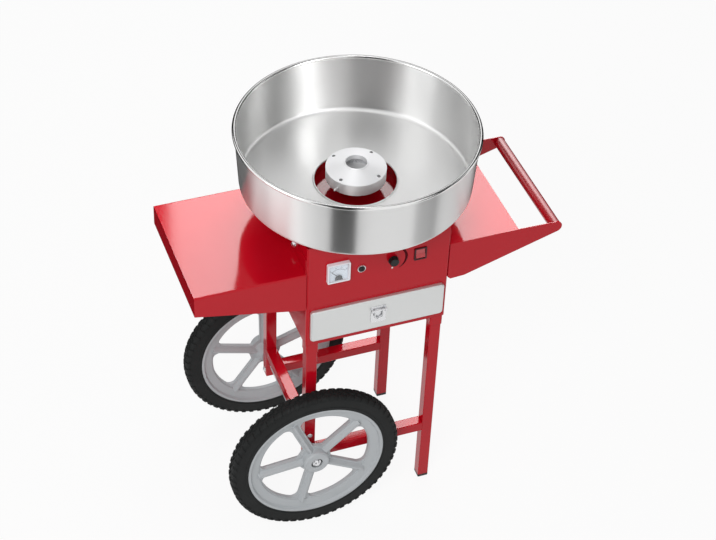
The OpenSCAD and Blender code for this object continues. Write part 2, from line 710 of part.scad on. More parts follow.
// Base pan with a square socket for each leg
module at_legs(z) for (sx = [-1, 1], sy = [-1, 1])
    translate([axis_x + sx * leg_x, sy * leg_y, z]) children();
module base_pan() color("firebrick") difference() {
    union() {
        on_axis() translate([0, 0, cabinet_base]) linear_extrude(sheet)
            rounded_rect(cabinet_w, cabinet_d, fold_r);
        at_legs(cabinet_base - socket_h) linear_extrude(socket_h + sheet / 2)
            rounded_rect(socket_out, socket_out, tube_r + sheet);
    }
    at_legs(cabinet_base - socket_h - eps) linear_extrude(socket_h + eps)
        rounded_rect(socket_in, socket_in, tube_r);
    bolt_holes(socket_bolts(), tube);
}

// Plate over the drawer, with turned-down sides that are spot-welded to the walls
module drawer_ceiling() color("firebrick") on_axis() difference() {
    translate([-cabinet_w / 2 + sheet, front_y + fold_r, ceiling_z - flange_w])
        cube([cabinet_w - 2 * sheet, cabinet_d - 2 * fold_r, flange_w]);
    translate([-cabinet_w / 2 + 2 * sheet, front_y, ceiling_z - flange_w - sheet])
        cube([cabinet_w - 4 * sheet, cabinet_d, flange_w]);
}

// Drawer: open tray, folded front, and two angle runners on the walls
module drawer_tray() color("gainsboro") on_axis()
    translate([-tray_w / 2, front_y - drawer_front_t + sheet, tray_z]) difference() {
        cube([tray_w, drawer_l, tray_h]);
        translate([sheet, sheet, sheet]) cube([tray_w - 2 * sheet, drawer_l - 2 * sheet, tray_h]);
    }
module drawer_front() color("gainsboro") on_panel(0, drawer_z, clear) difference() {
    linear_extrude(drawer_front_t - clear) rounded_rect(drawer_front_w, drawer_front_h, drawer_front_r);
    translate([0, 0, -sheet]) linear_extrude(drawer_front_t - clear)
        rounded_rect(drawer_front_w - 2 * sheet, drawer_front_h - 2 * sheet, drawer_front_r - sheet);
}
module drawer_runners() color("silver") on_axis() for (sx = [-1, 1])
    translate([sx * (cabinet_w / 2 - sheet), front_y + fold_r, runner_top]) mirror([sx > 0 ? 1 : 0, 0, 0]) {
        translate([0, 0, -sheet]) cube([(cabinet_w - tray_w) / 2 + runner_lip, runner_l, sheet]);
        translate([0, 0, -sheet]) cube([sheet, runner_l, runner_h]);
    }

// Drop pull: a plate with two ears, and a D of round wire on a pivot bar between them
pull_ear_w = 4;
pull_ear_x = pull_w / 2 - pull_ear_w;
pull_leg_x = pull_ear_x - pull_wire_d;
pull_plate_t = 1.5;
module on_pull() on_panel(0, drawer_z, drawer_front_t) children();
module pull_plate() color("silver") on_pull() difference() {
    union() {
        linear_extrude(pull_plate_t) rounded_rect(pull_w, pull_h, 4);
        for (s = [-1, 1]) translate([s * (pull_ear_x + pull_ear_w / 2) - pull_ear_w / 2, pull_pivot_h, 0])
            along_x() linear_extrude(pull_ear_w) {
                translate([-pull_stand, 0]) circle(pull_wire_d / 2 + 2);
                translate([-pull_stand, -pull_wire_d / 2 - 2]) square([pull_stand, pull_wire_d + 4]);
            }
    }
    translate([-pull_w, pull_pivot_h, pull_stand]) along_x()
        cylinder(d = pull_wire_d + 2 * running, h = 2 * pull_w);
}
module pull_ring() color("gainsboro") on_pull() translate([0, pull_pivot_h, pull_stand]) {
    translate([-pull_w / 2, 0, 0]) along_x() cylinder(d = pull_wire_d, h = pull_w);
    for (s = [-1, 1]) translate([s * pull_leg_x, -(pull_h - 2 * pull_leg_x) / 2, 0]) rotate([-90, 0, 0])
        cylinder(d = pull_wire_d, h = (pull_h - 2 * pull_leg_x) / 2);
    translate([0, -(pull_h - 2 * pull_leg_x) / 2, 0]) rotate([0, 0, 180]) rotate_extrude(angle = 180)
        translate([pull_leg_x, 0]) circle(d = pull_wire_d);
}

// Panel meter: square case with a round body behind the panel, dial, needle on a pin, and a clear window
meter_body_d = 42;
meter_body_l = 28;
meter_t = 8.5;
meter_r = 3;
meter_rim = 3;
meter_floor = 2.5;
dial_t = 1;
dial_r = 2;
window_t = 1.6;
needle_pivot = -meter_w / 4;
needle_l = meter_w * 0.44;
needle_pin_d = 1.6;
needle_hub_d = 5;
needle_hub_h = 2.4;
blade_w = 1;
blade_t = 0.6;
needle_turn = 135;
dial_w = meter_w - 2 * meter_rim - 4;
window_w = meter_w - 2 * meter_rim;
module on_meter() on_panel(meter_x, controls_z) children();
module meter_case() color("white") on_meter() difference() {
    union() {
        linear_extrude(meter_t) rounded_rect(meter_w, meter_w, meter_r);
        translate([0, 0, -meter_body_l]) cylinder(d = meter_body_d, h = meter_body_l + meter_floor / 2);
    }
    translate([0, 0, meter_floor]) linear_extrude(meter_t) rounded_rect(dial_w, dial_w, dial_r);
    translate([0, 0, meter_t - window_t - slip]) linear_extrude(meter_t)
        rounded_rect(window_w, window_w, dial_r);
}
module meter_dial() color("aliceblue") on_meter() translate([0, 0, meter_floor]) {
    linear_extrude(dial_t) rounded_rect(dial_w - 2 * slip, dial_w - 2 * slip, dial_r);
    translate([0, needle_pivot, dial_t / 2])
        cylinder(d = needle_pin_d, h = dial_t / 2 + clear + needle_hub_h + slip);
}
module meter_needle() color("black") on_meter()
    translate([0, needle_pivot, meter_floor + dial_t + clear]) difference() {
        union() {
            cylinder(d = needle_hub_d, h = needle_hub_h);
            rotate(needle_turn) translate([0, -blade_w / 2, (needle_hub_h - blade_t) / 2])
                cube([needle_l, blade_w, blade_t]);
        }
        translate([0, 0, -eps]) cylinder(d = needle_pin_d + 2 * running, h = needle_hub_h + 2 * eps);
    }
module meter_window() color("lightcyan", 0.4) on_meter() translate([0, 0, meter_t - window_t - slip])
    linear_extrude(window_t) rounded_rect(window_w - 2 * slip, window_w - 2 * slip, dial_r);

// Fuse holder with a bright ring, and a flat cap with a coin slot
fuse_ring_h = 3;
fuse_seat = 1;
fuse_body_d = 13;
fuse_body_l = 30;
fuse_cap_d = fuse_ring_d - 4;
fuse_cap_h = 3;
fuse_cap_chamfer = 1;
fuse_stem_d = 8;
fuse_stem_l = 16;
coin_slot = [1.6, 2];
module on_fuse() on_panel(fuse_x, fuse_z) children();
module fuse_holder() color("silver") on_fuse() difference() {
    union() {
        cylinder(d = fuse_ring_d, h = fuse_ring_h);
        translate([0, 0, -fuse_body_l]) cylinder(d = fuse_body_d, h = fuse_body_l + fuse_seat);
    }
    translate([0, 0, fuse_seat]) cylinder(d = fuse_cap_d + 2 * clear, h = fuse_ring_h);
    translate([0, 0, fuse_seat - fuse_stem_l - 2 * clear])
        cylinder(d = fuse_stem_d + 2 * clear, h = fuse_stem_l + fuse_ring_h);
}
module fuse_cap() color("black") on_fuse() translate([0, 0, fuse_seat + clear]) difference() {
    union() {
        cylinder(d = fuse_cap_d, h = fuse_cap_h);
        translate([0, 0, fuse_cap_h])
            cylinder(d1 = fuse_cap_d, d2 = fuse_cap_d - 2 * fuse_cap_chamfer, h = fuse_cap_chamfer);
        translate([0, 0, -fuse_stem_l]) cylinder(d = fuse_stem_d, h = fuse_stem_l + eps);
    }
    translate([0, 0, fuse_cap_h + fuse_cap_chamfer])
        cube([coin_slot[0], fuse_cap_d + 2 * eps, 2 * coin_slot[1]], center = true);
}

// Heat knob with grip flutes, on the shaft of the control behind the panel
shaft_d = 6;
collar_d = 9;
knob_stand = 3;
knob_skirt = 2;
knob_skirt_h = 2;
knob_chamfer = 1.5;
knob_flutes = 14;
flute_d = 3.2;
knob_crown = 3;
pointer_w = 2;
pointer_depth = 0.8;
shaft_in = 16;
control_d = 32;
control_l = 18;
module on_knob() on_panel(knob_x, controls_z) children();
module heat_knob() color("black") on_knob() translate([0, 0, knob_stand]) difference() {
    union() {
        cylinder(d = knob_d + knob_skirt, h = knob_skirt_h);
        cylinder(d = knob_d, h = knob_h - knob_chamfer);
        translate([0, 0, knob_h - knob_chamfer])
            cylinder(d1 = knob_d, d2 = knob_d - 2 * knob_chamfer, h = knob_chamfer);
    }
    for (k = [0 : knob_flutes - 1]) rotate(k * 360 / knob_flutes)
        translate([(knob_d + flute_d / 2) / 2, 0, knob_skirt_h]) cylinder(d = flute_d, h = knob_h);
    translate([0, 0, -eps]) cylinder(d = shaft_d + 2 * running, h = knob_h - knob_crown + eps);
    translate([0, -knob_d / 2, knob_h]) cube([pointer_w, knob_d - shaft_d, 2 * pointer_depth], center = true);
}
module knob_shaft() color("silver") on_knob() translate([0, 0, -shaft_in])
    cylinder(d = shaft_d, h = shaft_in + knob_stand + knob_h - knob_crown);
module heat_control() color("dimgray") on_knob() difference() {
    union() {
        translate([0, 0, -sheet - control_l]) cylinder(d = control_d, h = control_l);
        translate([0, 0, -sheet - eps]) cylinder(d = collar_d, h = sheet + eps + knob_stand - clear);
    }
    translate([0, 0, -shaft_in - clear]) cylinder(d = shaft_d + 2 * running, h = 2 * shaft_in);
}

// Rocker switch: bezel and body in one moulding, and a rocker with round ends about its pivot
switch_body_w = switch_w - 4;
switch_body_h = switch_h - 4;
bezel_t = 2.5;
rocker_w = switch_w - 7.6;
rocker_r = switch_h / 2 - 3;
rocker_pivot = -5;
rocker_stub_d = 3;
rocker_stub_l = 1.2;
rocker_reach = 1.5 * rocker_r;
rocker_under = 4;
rocker_rise = 6;
switch_body_l = 26;
rocker_well = 8;
module on_switch() on_panel(switch_x, controls_z) children();
module switch_housing() color("black") on_switch() difference() {
    union() {
        linear_extrude(bezel_t) rounded_rect(switch_w, switch_h, 2);
        translate([0, 0, -switch_body_l]) linear_extrude(switch_body_l + eps)
            square([switch_body_w, switch_body_h], center = true);
    }
    translate([0, 0, rocker_pivot - rocker_well]) linear_extrude(switch_body_l)
        square([rocker_w + 2 * clear, 2 * (rocker_r + clear)], center = true);
    translate([-rocker_w / 2 - rocker_stub_l - slip, 0, rocker_pivot]) along_x()
        cylinder(d = rocker_stub_d + 2 * running, h = rocker_w + 2 * (rocker_stub_l + slip));
}
// Side view of the rocker: round ends, and two faces that dip towards the middle
module rocker_section() intersection() {
    circle(rocker_r);
    polygon([[-rocker_reach, -rocker_under], [rocker_reach, -rocker_under],
        [rocker_reach, rocker_rise + rocker_reach * tan(rocker_tilt)], [0, rocker_rise],
        [-rocker_reach, rocker_rise + rocker_reach * tan(rocker_tilt)]]);
}
module switch_rocker() color("red") on_switch() translate([0, 0, rocker_pivot]) rotate([-rocker_tilt, 0, 0]) {
    translate([-rocker_w / 2, 0, 0]) rotate([90, 0, 90]) linear_extrude(rocker_w) rocker_section();
    translate([-rocker_w / 2 - rocker_stub_l, 0, 0]) along_x()
        cylinder(d = rocker_stub_d, h = rocker_w + 2 * rocker_stub_l);
}

// Drive: the motor hangs under a plate that four posts carry below the deck
module motor() color("dimgray") on_axis() difference() {
    union() {
        translate([0, 0, motor_plate_z - motor_h]) cylinder(d = motor_d, h = motor_h);
        translate([0, 0, motor_plate_z - eps]) cylinder(d = boss_d, h = boss_h + eps);
        for (k = [0 : motor_fins - 1]) rotate(k * 360 / motor_fins)
            translate([motor_d / 2 - 1, -fin_w / 2, motor_plate_z - motor_h * 0.8])
                cube([fin_w, fin_w, motor_h * 0.6]);
    }
    translate([0, 0, motor_bore_z]) cylinder(d = spindle_d + 2 * running, h = motor_bore_h + eps);
}
module motor_plate() color("silver") on_axis() translate([0, 0, motor_plate_z])
    linear_extrude(motor_plate_t) difference() {
        rounded_rect(motor_plate_w, motor_plate_w, 8);
        circle(d = boss_d + 2 * slip);
    }
module motor_posts() color("silver") on_axis() for (sx = [-1, 1], sy = [-1, 1])
    translate([sx * post_place, sy * post_place, motor_plate_z + motor_plate_t])
        cylinder(d = post_d, h = post_l);

spindle_z = motor_bore_z + clear;
module spindle() color("silver") on_axis() translate([0, 0, spindle_z])
    cylinder(d = spindle_d, h = head_z + casting_t + head_boss_h - spindle_z);

// Insulating sleeve on the spindle with two slip rings, and a block that holds their brushes
sleeve_z = motor_plate_z + motor_plate_t + 10;
module ring_insulator() color("saddlebrown") on_axis() translate([0, 0, sleeve_z])
    ring(sleeve_d, spindle_d + 2 * running, deck_z - sheet - 4 - sleeve_z);
module slip_rings() color("goldenrod") on_axis() for (h = slip_ring_lift)
    translate([0, 0, motor_plate_z + motor_plate_t + h])
        ring(slip_ring_d, sleeve_d + 2 * running, slip_ring_h);
brush_in = slip_ring_d / 2 + clear;
module brush_places(w) for (h = slip_ring_lift)
    translate([brush_in, -w / 2, motor_plate_z + motor_plate_t + h + slip_ring_h / 2 - w / 2]) children();
module brush_holder() color("saddlebrown") on_axis() difference() {
    translate([brush_in + 4, -brush_block_w / 2, motor_plate_z + motor_plate_t])
        cube([brush_block_l, brush_block_w, slip_ring_lift[1] + slip_ring_h + 6]);
    brush_places(brush_w + 2 * slip) cube([brush_block_l, brush_w + 2 * slip, brush_w + 2 * slip]);
}
module brushes() color("black") on_axis() brush_places(brush_w)
    cube([brush_block_l - slip, brush_w, brush_w]);

// Floss head: dished base on the spindle, polished band, heater ring, and a conical cover with the sugar hole
module head_screw_places() on_axis() for (k = [0 : 3]) rotate(head_screw_turn + 90 * k)
    translate([head_screw_r, 0, head_screw_z]) children();
collar_drop = 10;
cover_slope = (cone_h - cover_chamfer) / (head_r - sugar_hole_d / 2 - 2 * cover_chamfer);
head_screw_z = head_edge_z + (head_r - head_screw_r) * cover_slope - 1;
screw_end_z = head_z + casting_t + 1;
module head_base() color("silver") difference() {
    on_axis() rotate_extrude() polygon([
        [spindle_d / 2 + running, head_z - 4], [hub_boss_d / 2, head_z - 4], [hub_boss_d / 2, head_z],
        [dish_r - dish_h, head_z], [dish_r, head_z + dish_h - 1], [dish_r, head_z + dish_h + 2],
        [dish_r - casting_t, head_z + dish_h + 2], [dish_r - dish_h - 1.5, head_z + casting_t],
        [hub_boss_d / 2, head_z + casting_t], [hub_boss_d / 2 - 2, head_z + casting_t + head_boss_h],
        [spindle_d / 2 + running, head_z + casting_t + head_boss_h]]);
    head_screw_places() translate([0, 0, screw_end_z - head_screw_z - slip])
        cylinder(d = head_screw_d + 2 * slip, h = drum_h);
}
module pin_places() on_axis() for (k = [0, 1]) rotate(pin_turn + 180 * k)
    translate([pin_start, 0, head_z + dish_h + 7]) along_x() children();
module head_band() color("gainsboro") difference() {
    on_axis() translate([0, 0, head_z + dish_h - band_lap])
        ring(2 * band_out, 2 * band_in, drum_h - dish_h + band_lap - cover_lip - slip);
    pin_places() cylinder(d = pin_d + 2 * slip, h = pin_reach);
}
module heater_ring() color("peru") on_axis() translate([0, 0, head_z + casting_t])
    ring(2 * heater_r + 4, 2 * heater_r, drum_h - casting_t - 8);
module head_pins() color("gainsboro") pin_places() {
    cylinder(d = pin_d, h = pin_reach - pin_start);
    translate([0, 0, pin_reach - pin_start]) dome(pin_d, pin_d / 3);
}
module head_cover() color("whitesmoke") difference() {
    on_axis() rotate_extrude() polygon([
        [sugar_hole_d / 2, head_top_z], [sugar_hole_d / 2 + cover_chamfer, head_top_z],
        [sugar_hole_d / 2 + 2 * cover_chamfer, head_top_z - cover_chamfer],
        [head_r, head_edge_z], [head_r, head_edge_z - cover_lip],
        [head_r - casting_t, head_edge_z - cover_lip],
        [sugar_hole_d / 2 + cover_chamfer, head_top_z - cover_chamfer - casting_t],
        [sugar_hole_d / 2 + cover_chamfer, head_top_z - collar_drop],
        [sugar_hole_d / 2, head_top_z - collar_drop]]);
    head_screw_places() {
        cylinder(d = 2 * head_screw_d, h = 10);
        translate([0, 0, -10]) cylinder(d = head_screw_d + 2 * slip, h = 12);
    }
}
module head_screws() color("silver") head_screw_places() {
    dome(2 * head_screw_d - 2 * slip, 2);
    translate([0, 0, screw_end_z - head_screw_z])
        cylinder(d = head_screw_d, h = head_screw_z - screw_end_z + eps);
}

// Spun bowl: floor with a hemmed opening, round corner, tapered wall and rolled rim, and a collar under
// the floor that locates it on the deck's ring
wall_r = bowl_d / 2 - bead_d / 2;
foot_r = wall_r - bowl_taper;
hem_d = 4;
hem_r = (bowl_hole_d + hem_d) / 2;
module bowl_section() {
    translate([hem_r, 0]) square([foot_r - bowl_corner - hem_r, bowl_sheet]);
    translate([hem_r, hem_d / 2]) circle(d = hem_d);
    translate([foot_r - bowl_corner, bowl_corner]) intersection() {
        difference() {
            circle(bowl_corner);
            circle(bowl_corner - bowl_sheet);
        }
        translate([-hair, -bowl_corner]) square([bowl_corner, bowl_corner]);
    }
    polygon([[foot_r - bowl_sheet, bowl_corner - hair], [foot_r, bowl_corner - hair],
        [wall_r + bowl_sheet / 2, bowl_h - bead_d / 2], [wall_r - bowl_sheet / 2, bowl_h - bead_d / 2]]);
    translate([wall_r, bowl_h - bead_d / 2]) circle(d = bead_d);
    translate([seat_out + clear, -bowl_lift / 2]) square([bowl_sheet, bowl_lift / 2 + bowl_sheet / 2]);
}
module bowl() color("gainsboro") on_axis() translate([0, 0, bowl_z]) rotate_extrude() bowl_section();

left_front_leg();
left_rear_leg();
right_front_leg();
right_rear_leg();
foot_caps();
front_stretcher();
rear_stretcher();
left_crossbar();
frame_bolts();
axle();
axle_washers();
axle_caps();
front_wheel();
rear_wheel();
front_tyre();
rear_tyre();
front_hub_bush();
rear_hub_bush();
left_shelf();
right_tray();
handle_bar();
shelf_bolts();
cabinet_shell();
rear_cover();
deck();
base_pan();
drawer_ceiling();
case_screws();
cable_gland();
drawer_tray();
drawer_front();
drawer_runners();
pull_plate();
pull_ring();
meter_case();
meter_dial();
meter_needle();
meter_window();
fuse_holder();
fuse_cap();
heat_knob();
knob_shaft();
heat_control();
switch_housing();
switch_rocker();
motor();
motor_plate();
motor_posts();
spindle();
ring_insulator();
slip_rings();
brush_holder();
brushes();
head_base();
head_band();
heater_ring();
head_cover();
head_screws();
head_pins();
bowl();
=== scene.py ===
# %% [markdown]
# # A cotton candy cart, dressed
# The construction arrives as a fixed frame: sixty named nodes of solids at their real size, in metres, each
# riding on a body that a joint can move. This file gives those solids their finishes, and makes the few
# pieces that need a finer mesh. Nothing in the frame is moved, so every new piece takes its place from the
# frame's own boxes, joints and mounts.

# %% The frame
import json
import math

import bmesh
import bpy
from mathutils import Matrix, Vector


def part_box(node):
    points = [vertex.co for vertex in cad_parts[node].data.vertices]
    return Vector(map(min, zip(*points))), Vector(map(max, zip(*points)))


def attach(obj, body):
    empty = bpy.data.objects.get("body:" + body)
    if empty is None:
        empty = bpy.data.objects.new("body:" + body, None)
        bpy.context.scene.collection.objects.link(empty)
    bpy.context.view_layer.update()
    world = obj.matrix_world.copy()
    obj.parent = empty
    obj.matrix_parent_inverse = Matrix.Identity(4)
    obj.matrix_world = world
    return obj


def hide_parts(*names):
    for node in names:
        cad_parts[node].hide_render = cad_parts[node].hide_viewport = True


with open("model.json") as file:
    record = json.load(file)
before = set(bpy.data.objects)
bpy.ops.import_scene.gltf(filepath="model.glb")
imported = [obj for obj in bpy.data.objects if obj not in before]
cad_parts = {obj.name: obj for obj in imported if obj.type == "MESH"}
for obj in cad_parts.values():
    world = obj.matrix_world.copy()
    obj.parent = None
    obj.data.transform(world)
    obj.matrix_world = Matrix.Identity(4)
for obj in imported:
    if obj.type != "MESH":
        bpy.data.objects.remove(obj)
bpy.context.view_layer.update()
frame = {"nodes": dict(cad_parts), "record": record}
MM = 0.001

# %% [markdown]
# ## The camera
# The photograph was taken with a long lens, from the front left and well above. A camera is fixed by its
# lens, by where it looks, from which side, how high, how far, and how much it leans. Those values were
# fitted to the picture, so they are written as such, and the camera's matrix is worked out from them.

# %% Camera
PICTURE_W = 716
FOCAL_PX = 1847.5
SENSOR_MM = 36.0
AZIMUTH, ELEVATION, ROLL = (math.radians(a) for a in (-21.73, 41.94, 2.63))
DISTANCE = 4.0815
TARGET = Vector((0.0054, 0.0, 0.5618))
FAR_CLIP = 60


def photo_camera():
    """The camera that stands where the photograph was taken."""
    level_back = Vector((math.sin(AZIMUTH), -math.cos(AZIMUTH), 0))
    back = math.cos(ELEVATION) * level_back + Vector((0, 0, math.sin(ELEVATION)))
    level = Vector((math.cos(AZIMUTH), math.sin(AZIMUTH), 0))
    upright = back.cross(level)
    right = math.cos(ROLL) * level + math.sin(ROLL) * upright
    up = back.cross(right)
    lens = bpy.data.cameras.new("photo_camera")
    lens.sensor_fit = "HORIZONTAL"
    lens.sensor_width = SENSOR_MM
    lens.lens = FOCAL_PX / PICTURE_W * SENSOR_MM
    lens.clip_end = FAR_CLIP
    holder = bpy.data.objects.new("photo_camera", lens)
    bpy.context.scene.collection.objects.link(holder)
    turn = Matrix((right, up, back)).transposed().to_4x4()
    holder.matrix_world = Matrix.Translation(TARGET + DISTANCE * back) @ turn
    bpy.context.scene.camera = holder
    return holder


camera = photo_camera()
print("camera: lens", round(camera.data.lens, 2), "mm at",
      [round(c, 3) for c in camera.matrix_world.translation])

# %% [markdown]
# ## Shader sums as Python sums
# A finish is a small network of nodes. Wiring each node by hand hides the idea, so a Signal wraps one
# socket and turns plus, minus, times and so on into Math nodes. Everything else, such as noise, bump and
# mixing, comes from one method, node, which sets a node's options first and then its sockets. A value that
# is the same all over is set on the shader.

# %% Signals and finishes
BEVEL_SAMPLES = 6


class Signal:
    """One socket's output. Arithmetic on it adds Math nodes to the same network."""

    def __init__(self, network, socket):
        self.network = network
        self.socket = socket

    def math(self, operation, first, second=0.0):
        return self.network.node("Math", {"operation": operation}, {0: first, 1: second})

    def __add__(self, other):
        return self.math("ADD", self, other)

    def __radd__(self, other):
        return self.math("ADD", other, self)

    def __sub__(self, other):
        return self.math("SUBTRACT", self, other)

    def __rsub__(self, other):
        return self.math("SUBTRACT", other, self)

    def __mul__(self, other):
        return self.math("MULTIPLY", self, other)

    def __rmul__(self, other):
        return self.math("MULTIPLY", other, self)

    def __pow__(self, other):
        return self.math("POWER", self, other)

    def __gt__(self, other):
        return self.math("GREATER_THAN", self, other)

    def root(self):
        return self.math("SQRT", self)


class Network:
    """A node tree under construction."""

    def __init__(self, tree):
        self.tree = tree

    def node(self, kind, settings=None, sockets=None, out=0):
        """Adds one node: its settings first, then the values or links of its sockets."""
        made = self.tree.nodes.new("ShaderNode" + kind)
        for name, value in (settings or {}).items():
            setattr(made, name, value)
        for name, value in (sockets or {}).items():
            if isinstance(value, Signal):
                self.tree.links.new(value.socket, made.inputs[name])
            else:
                made.inputs[name].default_value = value
        return Signal(self, made.outputs[out])


class Finish(Network):
    """A material's network with one Principled shader. Constants sit on the shader's own sockets."""

    def __init__(self, name, constants):
        self.material = bpy.data.materials.new(name)
        self.material.use_nodes = True
        super().__init__(self.material.node_tree)
        self.tree.nodes.clear()
        self.shader = self.tree.nodes.new("ShaderNodeBsdfPrincipled")
        output = self.tree.nodes.new("ShaderNodeOutputMaterial")
        self.tree.links.new(self.shader.outputs[0], output.inputs["Surface"])
        for socket, value in constants.items():
            self.shader.inputs[socket].default_value = value
        self.place = self.node("TexCoord", out="Object")

    def feed(self, socket, signal):
        self.tree.links.new(signal.socket, self.shader.inputs[socket])

    def noise(self, scale, detail=2.0, stretch=(1, 1, 1)):
        """Cloudy noise with about `scale` clouds to the metre, drawn out along some axes if wanted."""
        vector = self.node("VectorMath", {"operation": "MULTIPLY"}, {0: self.place, 1: stretch})
        return self.node("TexNoise", None, {"Vector": vector, "Scale": scale, "Detail": detail})

    def lines(self, along, per_metre, detail=3.0):
        """Fine lines across the direction in which `along` grows."""
        return self.node("TexNoise", {"noise_dimensions": "1D"},
                         {"W": along, "Scale": per_metre, "Detail": detail})

    def between(self, first, second, share):
        """A colour part of the way from one colour to another."""
        return self.node("Mix", {"data_type": "RGBA"}, {0: share, 6: first, 7: second}, out=2)

    def axes(self):
        split = self.node("SeparateXYZ", None, {0: self.place})
        return [Signal(self, split.socket.node.outputs[i]) for i in range(3)]

    def radius(self, centre):
        """Distance from an upright axis through `centre`."""
        x, y, _ = self.axes()
        return ((x - centre[0]) ** 2.0 + (y - centre[1]) ** 2.0).root()

    def rounded(self, radius):
        """The normal of the surface with its sharp edges rounded off."""
        return self.node("Bevel", {"samples": BEVEL_SAMPLES}, {"Radius": radius})

    def bump(self, height, distance, strength=1.0, normal=None):
        sockets = {"Height": height, "Distance": distance, "Strength": strength}
        if normal is not None:
            sockets["Normal"] = normal
        return self.node("Bump", None, sockets)


def rgb(red, green, blue):
    return (red, green, blue, 1.0)


print("signals: ready")

# %% [markdown]
# ## Studio
# The photograph has a white surround, and soft light from above and behind that turns every flat top pink.
# The surround is white only for camera, glossy and transmission rays, so it doesn't overexpose the object.
# The floor keeps a soft shadow. Polished steel looks like nothing in a white room, so a photographer stands
# dark cards round it: here they are seen by reflections alone.

# %% Studio
AMBIENT = 0.42
FLOOR_GLOW = 0.9
FLOOR_GREY = rgb(0.9, 0.9, 0.9)
FLOOR_HALF = 15
CARD_BLACK = rgb(0.02, 0.02, 0.02)
CARD_STEP = 4
AIM = (0, 0, 0.6)


def seen_directly(network):
    """1 for camera, glossy and transmission rays, from one Light Path node."""
    path = network.node("LightPath", out="Is Camera Ray").socket.node
    camera_ray, glossy, through = (Signal(network, path.outputs[n])
                                   for n in ("Is Camera Ray", "Is Glossy Ray", "Is Transmission Ray"))
    return (camera_ray + glossy + through) > 0.5


def white_world():
    world = bpy.data.worlds.new("white_surround")
    world.use_nodes = True
    bpy.context.scene.world = world
    network = Network(world.node_tree)
    background = next(n for n in world.node_tree.nodes if n.type == "BACKGROUND")
    background.inputs["Color"].default_value = rgb(1, 1, 1)
    strength = AMBIENT + (1 - AMBIENT) * seen_directly(network)
    world.node_tree.links.new(strength.socket, background.inputs["Strength"])


def pale_floor():
    finish = Finish("pale_floor", {"Base Color": FLOOR_GREY, "Roughness": 0.9, "Specular IOR Level": 0.0})
    glow = finish.node("Emission", None, {"Color": rgb(1, 1, 1), "Strength": 1.0})
    share = seen_directly(finish) * FLOOR_GLOW
    mixed = finish.node("MixShader", None, {0: share, 1: Signal(finish, finish.shader.outputs[0]), 2: glow})
    output = next(n for n in finish.tree.nodes if n.type == "OUTPUT_MATERIAL")
    finish.tree.links.new(mixed.socket, output.inputs["Surface"])
    mesh = bpy.data.meshes.new("floor")
    corners = [(FLOOR_HALF * x, FLOOR_HALF * y, 0) for x, y in ((-1, -1), (1, -1), (1, 1), (-1, 1))]
    mesh.from_pydata(corners, [], [(0, 1, 2, 3)])
    mesh.materials.append(finish.material)
    floor = bpy.data.objects.new("floor", mesh)
    bpy.context.scene.collection.objects.link(floor)


def soft_box(name, place, aim, width, height, watts):
    """A rectangular lamp that faces a point."""
    light = bpy.data.lights.new(name, "AREA")
    light.shape = "RECTANGLE"
    light.size, light.size_y = width, height
    light.energy = watts
    lamp = bpy.data.objects.new(name, light)
    lamp.visible_camera = False
    lamp.location = place
    lamp.rotation_euler = (Vector(aim) - Vector(place)).to_track_quat("-Z", "Y").to_euler()
    bpy.context.scene.collection.objects.link(lamp)
    return lamp


def reach_only(lamp, objects):
    """Lets a lamp light some objects alone, as flags do in a studio."""
    lit = bpy.data.collections.new(lamp.name + "_reaches")
    for obj in objects:
        lit.objects.link(obj)
    lamp.light_linking.receiver_collection = lit


def keep_off(lamp, objects):
    """Shades some objects from a lamp, and leaves the rest lit."""
    shaded = bpy.data.collections.new(lamp.name + "_spares")
    for obj in objects:
        shaded.objects.link(obj)
    lamp.light_linking.receiver_collection = shaded
    for item in shaded.collection_objects:
        item.light_linking.link_state = "EXCLUDE"


def dark_cards(name, section, spans):
    """Dark cards round the bowl, seen only in reflections.

    Each is a section of (radius, height) over spans in degrees. They cast no shadow and dim no matt surface.
    """
    maker = bmesh.new()
    for start, end in spans:
        steps = max(2, round((end - start) / CARD_STEP))
        angles = [math.radians(start + (end - start) * k / steps) for k in range(steps + 1)]
        rows = [[maker.verts.new((AXIS.x + r * math.cos(a), AXIS.y + r * math.sin(a), z)) for a in angles]
                for r, z in section]
        for lower, upper in zip(rows, rows[1:]):
            for k in range(steps):
                maker.faces.new((lower[k], lower[k + 1], upper[k + 1], upper[k]))
    mesh = bpy.data.meshes.new(name)
    maker.to_mesh(mesh)
    maker.free()
    finish = Finish(name, {"Base Color": CARD_BLACK, "Roughness": 1.0, "Specular IOR Level": 0.0})
    mesh.materials.append(finish.material)
    cards = bpy.data.objects.new(name, mesh)
    bpy.context.scene.collection.objects.link(cards)
    cards.visible_camera = cards.visible_diffuse = cards.visible_shadow = False
    cards.visible_transmission = cards.visible_volume_scatter = False


CARD_R, CARD_FOOT, CARD_WAIST = 1.9, 0.004, 0.95
CARDS = {
    "high_cards": ([(CARD_R, CARD_WAIST), (CARD_R, 3.2), (0.3, 4.0)],
                   [(2, 42), (88, 122), (216, 258), (314, 349)]),
    "back_card": ([(CARD_R, CARD_WAIST), (CARD_R, 1.7)], [(38, 88)]),
    "low_cards": ([(0.7, CARD_FOOT), (CARD_R, CARD_FOOT), (CARD_R, CARD_WAIST)], [(12, 150), (229, 251)]),
    "outer_card": ([(1.4, CARD_FOOT), (CARD_R, CARD_FOOT), (CARD_R, CARD_WAIST)], [(300, 322)]),
}
bowl_low, bowl_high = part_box("bowl")
AXIS = (bowl_low + bowl_high) / 2
bpy.context.scene.view_settings.view_transform = "Standard"
white_world()
pale_floor()
key = soft_box("key", place=(-1.6, -2.2, 3.0), aim=AIM, width=1.6, height=1.6, watts=62)
back = soft_box("back", place=(0.55, 2.3, 2.3), aim=AIM, width=2.6, height=1.7, watts=22)
painted = [row["node"] for row in frame["record"]["subparts"] if row["material_slot"] == "red_paint"]
